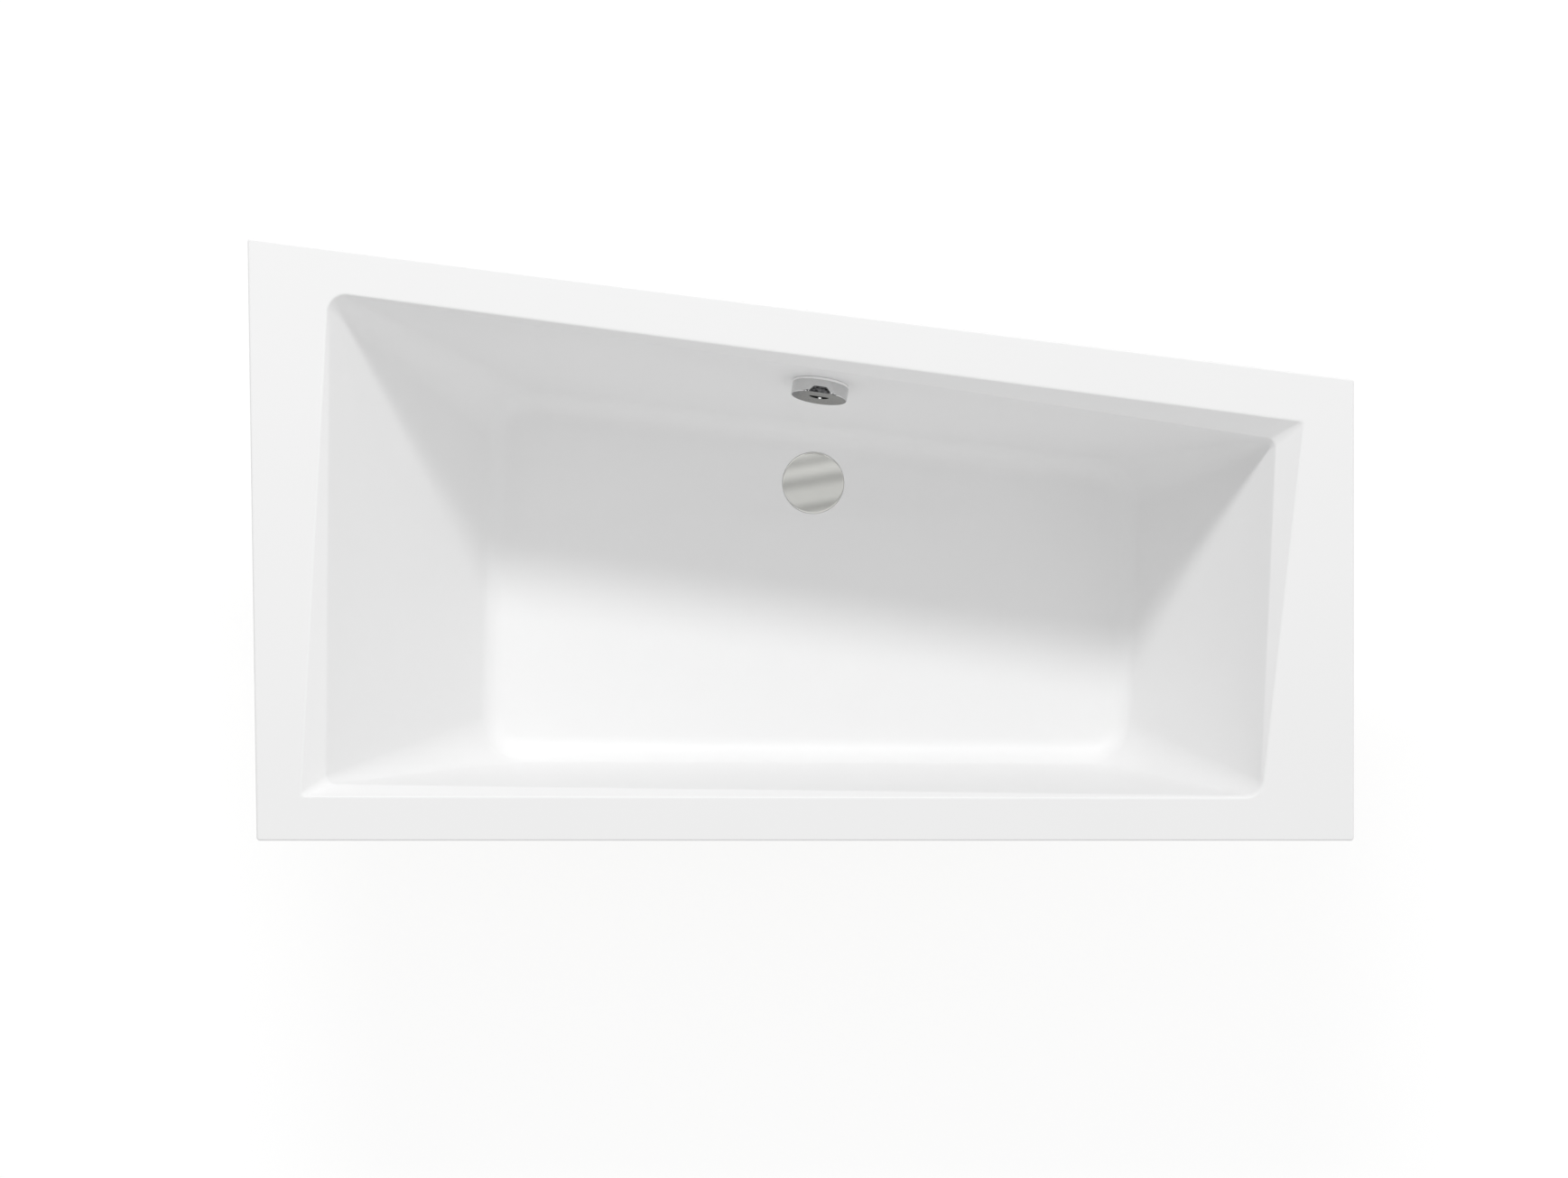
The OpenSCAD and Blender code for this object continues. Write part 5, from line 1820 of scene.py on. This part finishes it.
@dataclass
class OverflowHose:
    """The corrugated hose from the overflow down the back wall to the waste.

    Parts are shares of the wall's height. A bend's two distances, across the tub and up, are
    counted in diameters of the hose, as is the way that the hose keeps behind the floor.
    """

    skin: TubSkin
    diameter: float = 32
    spigot: tuple[float, float] = (61.3, -32.4)
    port_reach: float = 55.3
    port_z: float = 110
    parts: tuple[float, ...] = (0.12, 0.37, 0.62)
    behind_floor: float = 1.1
    upper_bend: tuple[float, float] = (0.125, 0.4)
    lower_bend: tuple[float, float] = (0.6, 0.75)
    last_bend: tuple[float, float] = (0.75, 0.0625)
    stub: float = 10
    rib_pitch: float = 4.2
    rib_depth: float = 1.5
    rib_steps: int = 6
    cuff: float = 16
    sides: int = 32
    bend_steps: int = 24
    sharp: float = 70

    def route(self) -> Ring:
        """Finds the points that the hose runs through.

        Returns:
            The points from the overflow to the waste, in the row frame, in metres.
        """
        reach, behind = self.spigot
        place = self.skin.overflow_frame()
        top = place @ (Vector((0, -reach, behind)) * MM)
        down = unit(place.to_3x3() @ Vector((0, -1, 0)))
        waste = self.skin.at_waste().translation
        floor_z = self.skin.plan.floor_z * MM
        wall = place.translation.z - floor_z
        d = self.diameter * MM
        foot = Vector((waste.x, waste.y + self.port_reach * MM, self.port_z * MM))
        back = self.back_edge() + d * self.behind_floor
        bends = (self.upper_bend, self.lower_bend, self.last_bend)
        upper, lower, last = ((d * across, d * up) for across, up in bends)
        return [
            top,
            *[top + down * wall * part for part in self.parts],
            Vector((waste.x + upper[0], back, floor_z + upper[1])),
            Vector((waste.x, back - lower[0], foot.z + lower[1])),
            Vector((waste.x, foot.y + last[0], foot.z + last[1])),
            foot + Vector((0, self.stub * MM, 0)),
            foot,
        ]

    def back_edge(self) -> float:
        """Finds where the floor's back edge crosses the waste's x.

        Returns:
            Its y in the row frame, in metres.
        """
        a, b = self.skin.plan.floor_corners[:2]
        x = self.skin.waste[0]
        y = a.y + (x - a.x) * (b.y - a.y) / (b.x - a.x)
        return (y - self.skin.plan.middle.y) * MM

    def curve(self) -> Ring:
        """Runs a smooth curve through the route, whose last stretch stays straight.

        Returns:
            The curve's points, unevenly spaced.
        """
        *bent, end = self.route()
        last = len(bent) - 1
        points: Ring = []
        for i in range(last):
            p, q, r, s = bent[max(i - 1, 0)], bent[i], bent[i + 1], bent[min(i + 2, last)]
            square, cube = 2 * p - 5 * q + 4 * r - s, 3 * q - p - 3 * r + s
            shares = [k / self.bend_steps for k in range(self.bend_steps)]
            points += [0.5 * (2 * q + (r - p) * t + square * t * t + cube * t**3) for t in shares]
        return [*points, bent[-1], end]

    @staticmethod
    def evenly(fine: Ring, spacing: float) -> Ring:
        """Spaces a curve's points evenly.

        Args:
            fine: The curve's points.
            spacing: The distance that is wanted between them, in metres.

        Returns:
            New points along the curve.
        """
        lengths = [0.0]
        for a, b in zip(fine, fine[1:]):
            lengths.append(lengths[-1] + (b - a).length)
        count = max(2, round(lengths[-1] / spacing))
        points, at = [], 0
        for i in range(count + 1):
            want = lengths[-1] * i / count
            while at < len(fine) - 2 and lengths[at + 1] < want:
                at += 1
            span = lengths[at + 1] - lengths[at]
            points.append(mix(fine[at], fine[at + 1], (want - lengths[at]) / span))
        return points

    def rib_radius(self, i: int, count: int) -> float:
        """Works out the hose's radius at one point of its path.

        Args:
            i: The point's number.
            count: How many points the path has.

        Returns:
            The radius in millimetres, with ribs between the two plain cuffs.
        """
        cuff = int(self.cuff / self.rib_pitch * self.rib_steps)
        inside = min(i - cuff, count - 1 - cuff - i)
        if inside <= 0:
            return self.diameter / 2
        wave = 0.5 - 0.5 * math.cos(2 * math.pi * i / self.rib_steps)
        return self.diameter / 2 - min(1.0, inside / self.rib_steps) * self.rib_depth * wave

    def build(self) -> Object:
        """Builds the hose.

        Returns:
            The hose, in its place.
        """
        path = self.evenly(self.curve(), self.rib_pitch * MM / self.rib_steps)
        radii = [self.rib_radius(i, len(path)) * MM for i in range(len(path))]
        bm = bmesh.new()
        Mesher.swept(bm, path, radii, self.sides, Vector((1, 0, 0)))
        return Mesher.object_from("corrugated_hose", bm, self.sharp)


# ---------------------------------------------------------------- studio


@dataclass
class Studio:
    """Pale floor, soft lamps and the camera, looking straight down as in the photograph.

    A pair from room_rise to front_to_back says where a change over the ray's direction starts
    and ends. A strip has its middle, its half width and how much it darkens.
    """

    camera_at: tuple[float, float, float] = (-0.0257, -0.0758, 7.6)
    focal_px: float = 5048
    image_px: tuple[int, int] = (1737, 1305)
    sensor: float = 36
    sky_low: float = 0.50
    sky_high: float = 0.74
    sky_front: float = 1.12
    sky_right: float = 0.33
    horizon: float = 0.55
    ceiling: float = 0.66
    window: float = 1.0
    room_rise: tuple[float, float] = (0.0, 0.5)
    window_facing: tuple[float, float] = (0.35, 0.6)
    window_rise: tuple[float, float] = (0.3, 0.5)
    overhead: tuple[float, float] = (0.90, 0.96)
    front_to_back: tuple[float, float] = (-0.8, 0.1)
    strip_slant: float = -0.17
    strips: tuple[tuple[float, float, float], ...] = (
        (0.172, 0.055, 0.36),
        (0.036, 0.070, 0.42),
        (-0.055, 0.090, 0.12),
        (-0.145, 0.060, 0.48),
    )
    key_power: float = 372
    key_elevation: float = 45.2
    key_azimuth: float = 97
    key_distance: float = 9.0
    key_size: tuple[float, float] = (4.0, 1.2)
    aim: tuple[float, float, float] = (0, 0, 0.5)
    floor_colour: Colour = (0.9, 0.9, 0.9)
    floor_size: float = 14
    floor_seen: float = 0.8
    floor_glow: float = 1.06

    def room(self, g: Graph, parts: bpy.types.Node) -> Socket:
        """Draws what metal reflects: a white room with a greyer horizon and ceiling strips.

        Args:
            g: The world's graph.
            parts: The ray's direction, separated.

        Returns:
            The room's brightness.
        """
        x, y, z = (parts.outputs[axis] for axis in "XYZ")
        slant = g.math("MULTIPLY_ADD", x, self.strip_slant, y)
        overhead = g.ramp(z, *self.overhead)
        rise = g.ramp(z, *self.room_rise)
        room = g.math("MULTIPLY_ADD", rise, self.ceiling - self.horizon, self.horizon)
        facing = g.ramp(g.math("MULTIPLY", y, -1.0), *self.window_facing)
        window = g.math("MULTIPLY", facing, g.ramp(z, *self.window_rise))
        room = g.math("MULTIPLY_ADD", window, self.window - self.ceiling, room)
        for middle, half, depth in self.strips:
            away = g.math("ABSOLUTE", g.math("SUBTRACT", slant, middle))
            strip = g.add("MapRange", interpolation_type="SMOOTHSTEP")
            g.set(strip, Value=away, From_Min=0.0, From_Max=half, To_Min=depth, To_Max=0.0)
            shade = g.math("MULTIPLY", strip.outputs[0], overhead)
            room = g.math("MULTIPLY", room, g.math("SUBTRACT", 1.0, shade))
        return room

    def seen_ray(self, g: Graph) -> Socket:
        """Finds the rays that look at the studio: camera, glossy and transmission rays.

        Args:
            g: The graph.

        Returns:
            The output that is 1 for them and 0 for the others.
        """
        path = g.add("LightPath").outputs
        first = g.math("MAXIMUM", path["Is Camera Ray"], path["Is Transmission Ray"])
        return g.math("MAXIMUM", first, path["Is Glossy Ray"])

    def build_world(self) -> None:
        """Makes a world that looks white and lights most from overhead and from behind."""
        world = bpy.data.worlds.new("studio_world")
        bpy.context.scene.world = world
        world.use_nodes = True
        g = Graph(world.node_tree)
        background = world.node_tree.nodes["Background"]
        parts = g.set(g.add("SeparateXYZ"), Vector=g.add("TexCoord").outputs["Generated"])
        height = g.ramp(parts.outputs["Z"], 0.0, 1.0)
        light = g.math("MULTIPLY_ADD", height, self.sky_high - self.sky_low, self.sky_low)
        behind = g.ramp(parts.outputs["Y"], *self.front_to_back)
        share = g.math("MULTIPLY_ADD", behind, 1.0 - self.sky_front, self.sky_front)
        side = g.math("MULTIPLY_ADD", parts.outputs["X"], self.sky_right, 1.0)
        light = g.math("MULTIPLY", g.math("MULTIPLY", light, share), side)
        seen = self.seen_ray(g)
        unseen = g.math("MULTIPLY", light, g.math("SUBTRACT", 1.0, seen))
        mirrored = g.add("LightPath").outputs["Is Glossy Ray"]
        dimmed = g.math("SUBTRACT", 1.0, self.room(g, parts))
        shown = g.math("SUBTRACT", seen, g.math("MULTIPLY", dimmed, mirrored))
        g.set(background, Color=(1, 1, 1, 1), Strength=g.math("ADD", unseen, shown))

    def build_floor(self) -> None:
        """Makes the floor, which looks white and keeps a faint shadow."""
        bm = bmesh.new()
        bmesh.ops.create_grid(bm, x_segments=8, y_segments=8, size=self.floor_size)
        floor = Mesher.object_from("studio_floor", bm)
        material = bpy.data.materials.new("studio_paper")
        material.use_nodes = True
        g = Graph(material.node_tree)
        shader = material.node_tree.nodes["Principled BSDF"]
        g.set(shader, Base_Color=rgba(self.floor_colour), Roughness=0.9)
        glow = g.set(g.add("Emission"), Color=(1, 1, 1, 1), Strength=self.floor_glow)
        share = g.math("MULTIPLY", self.seen_ray(g), self.floor_seen)
        blend = g.add("MixShader")
        for socket, value in zip(blend.inputs, (share, shader.outputs[0], glow.outputs[0])):
            g.put(socket, value)
        g.set(material.node_tree.nodes["Material Output"], Surface=blend.outputs[0])
        floor.data.materials.append(material)

    def build_key(self) -> None:
        """Places the wide key lamp behind the tub, looking down at its middle."""
        data = bpy.data.lights.new("key", "AREA")
        data.shape = "ELLIPSE"
        data.energy = self.key_power
        data.size, data.size_y = self.key_size
        lamp = bpy.data.objects.new("key", data)
        bpy.context.scene.collection.objects.link(lamp)
        az, el = math.radians(self.key_azimuth), math.radians(self.key_elevation)
        away = Vector((math.cos(az) * math.cos(el), math.sin(az) * math.cos(el), math.sin(el)))
        lamp.location = Vector(self.aim) + away * self.key_distance
        lamp.rotation_euler = away.to_track_quat("Z", "Y").to_euler()

    def build_camera(self) -> None:
        """Makes the camera, which looks straight down with the straight side at the bottom."""
        data = bpy.data.cameras.new("camera")
        data.sensor_width = self.sensor
        data.lens = self.focal_px / self.image_px[0] * self.sensor
        data.clip_end = 100
        camera = bpy.data.objects.new("camera", data)
        camera.location = self.camera_at
        bpy.context.scene.collection.objects.link(camera)
        bpy.context.scene.camera = camera

    def build(self) -> None:
        """Builds the studio."""
        self.build_camera()
        self.build_world()
        self.build_floor()
        self.build_key()
        bpy.context.scene.view_settings.view_transform = "Standard"


# ---------------------------------------------------------------- assembly


class Dresser:
    """Gives every piece its finish and its body."""

    def __init__(self) -> None:
        """Builds the shared effects and the finishes of the record's slots."""
        self.effects = Effects()
        self.materials = {slot: f.build(self.effects) for slot, f in FINISHES.items()}
        self.knob = {finish: finish.value.build(self.effects) for finish in KnobFinish}
        self.slots = {
            part["node"]: part["material_slot"] for part in frame["record"]["subparts"]
        }
        self.bodies = {
            node: body
            for body, nodes in frame["record"]["behaviour"]["bodies"].items()
            for node in nodes
        }
        self.done: set[str] = set()

    def dress(self, obj: Object, *nodes: str) -> None:
        """Gives a new piece the body and the slot of the nodes that it stands for.

        Args:
            obj: The piece, in its place.
            nodes: The CAD nodes that it replaces, all on one body.
        """
        slot = self.slots[nodes[0]]
        if not obj.data.materials:
            obj.data.materials.append(self.materials[slot])
        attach(obj, self.bodies[nodes[0]])
        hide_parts(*nodes)
        self.done.update(nodes)
        LOG.info("built %s for %s", obj.name, ", ".join(nodes))

    def dress_node(self, node: str) -> None:
        """Gives a CAD node the finish of its slot.

        Args:
            node: The node's name.
        """
        obj = frame["nodes"][node]
        slot = self.slots[node]
        if slot == "batten" and node.endswith(("left", "right")):
            slot = "batten_end"
        obj.data.materials.clear()
        obj.data.materials.append(self.materials[slot])
        LOG.info("dressed %s as %s", node, slot)

    def dress_rest(self) -> None:
        """Gives every node that no new piece stands for its finish."""
        for node in frame["nodes"]:
            if node not in self.done:
                self.dress_node(node)


def main() -> None:
    """Builds the studio and the tub's pieces."""
    logging.basicConfig(level=logging.INFO, format="%(name)s: %(message)s")
    Studio().build()
    dresser = Dresser()
    skin = TubSkin(TubPlan())
    dresser.dress(skin.build_shell(), "tub_shell")
    dresser.dress(skin.build_laminate(), "laminate")
    dresser.dress(OverflowKnob(skin.overflow_frame()).build(dresser.knob), "overflow_knob")
    dresser.dress(PlugCover(skin.at_waste()).build(), "plug_cover")
    dresser.dress(OverflowHose(skin).build(), "overflow_hose")
    for corner in ("left_front", "left_back", "right_front", "right_back"):
        low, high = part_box("foot_rod_" + corner)
        place = Matrix.Translation(((low.x + high.x) / 2, (low.y + high.y) / 2, 0))
        rod = ThreadedRod(place, high=high.z / MM)
        dresser.dress(rod.build("threaded_rod_" + corner), "foot_rod_" + corner)
    dresser.dress_rest()


if __name__ == "__main__":
    main()
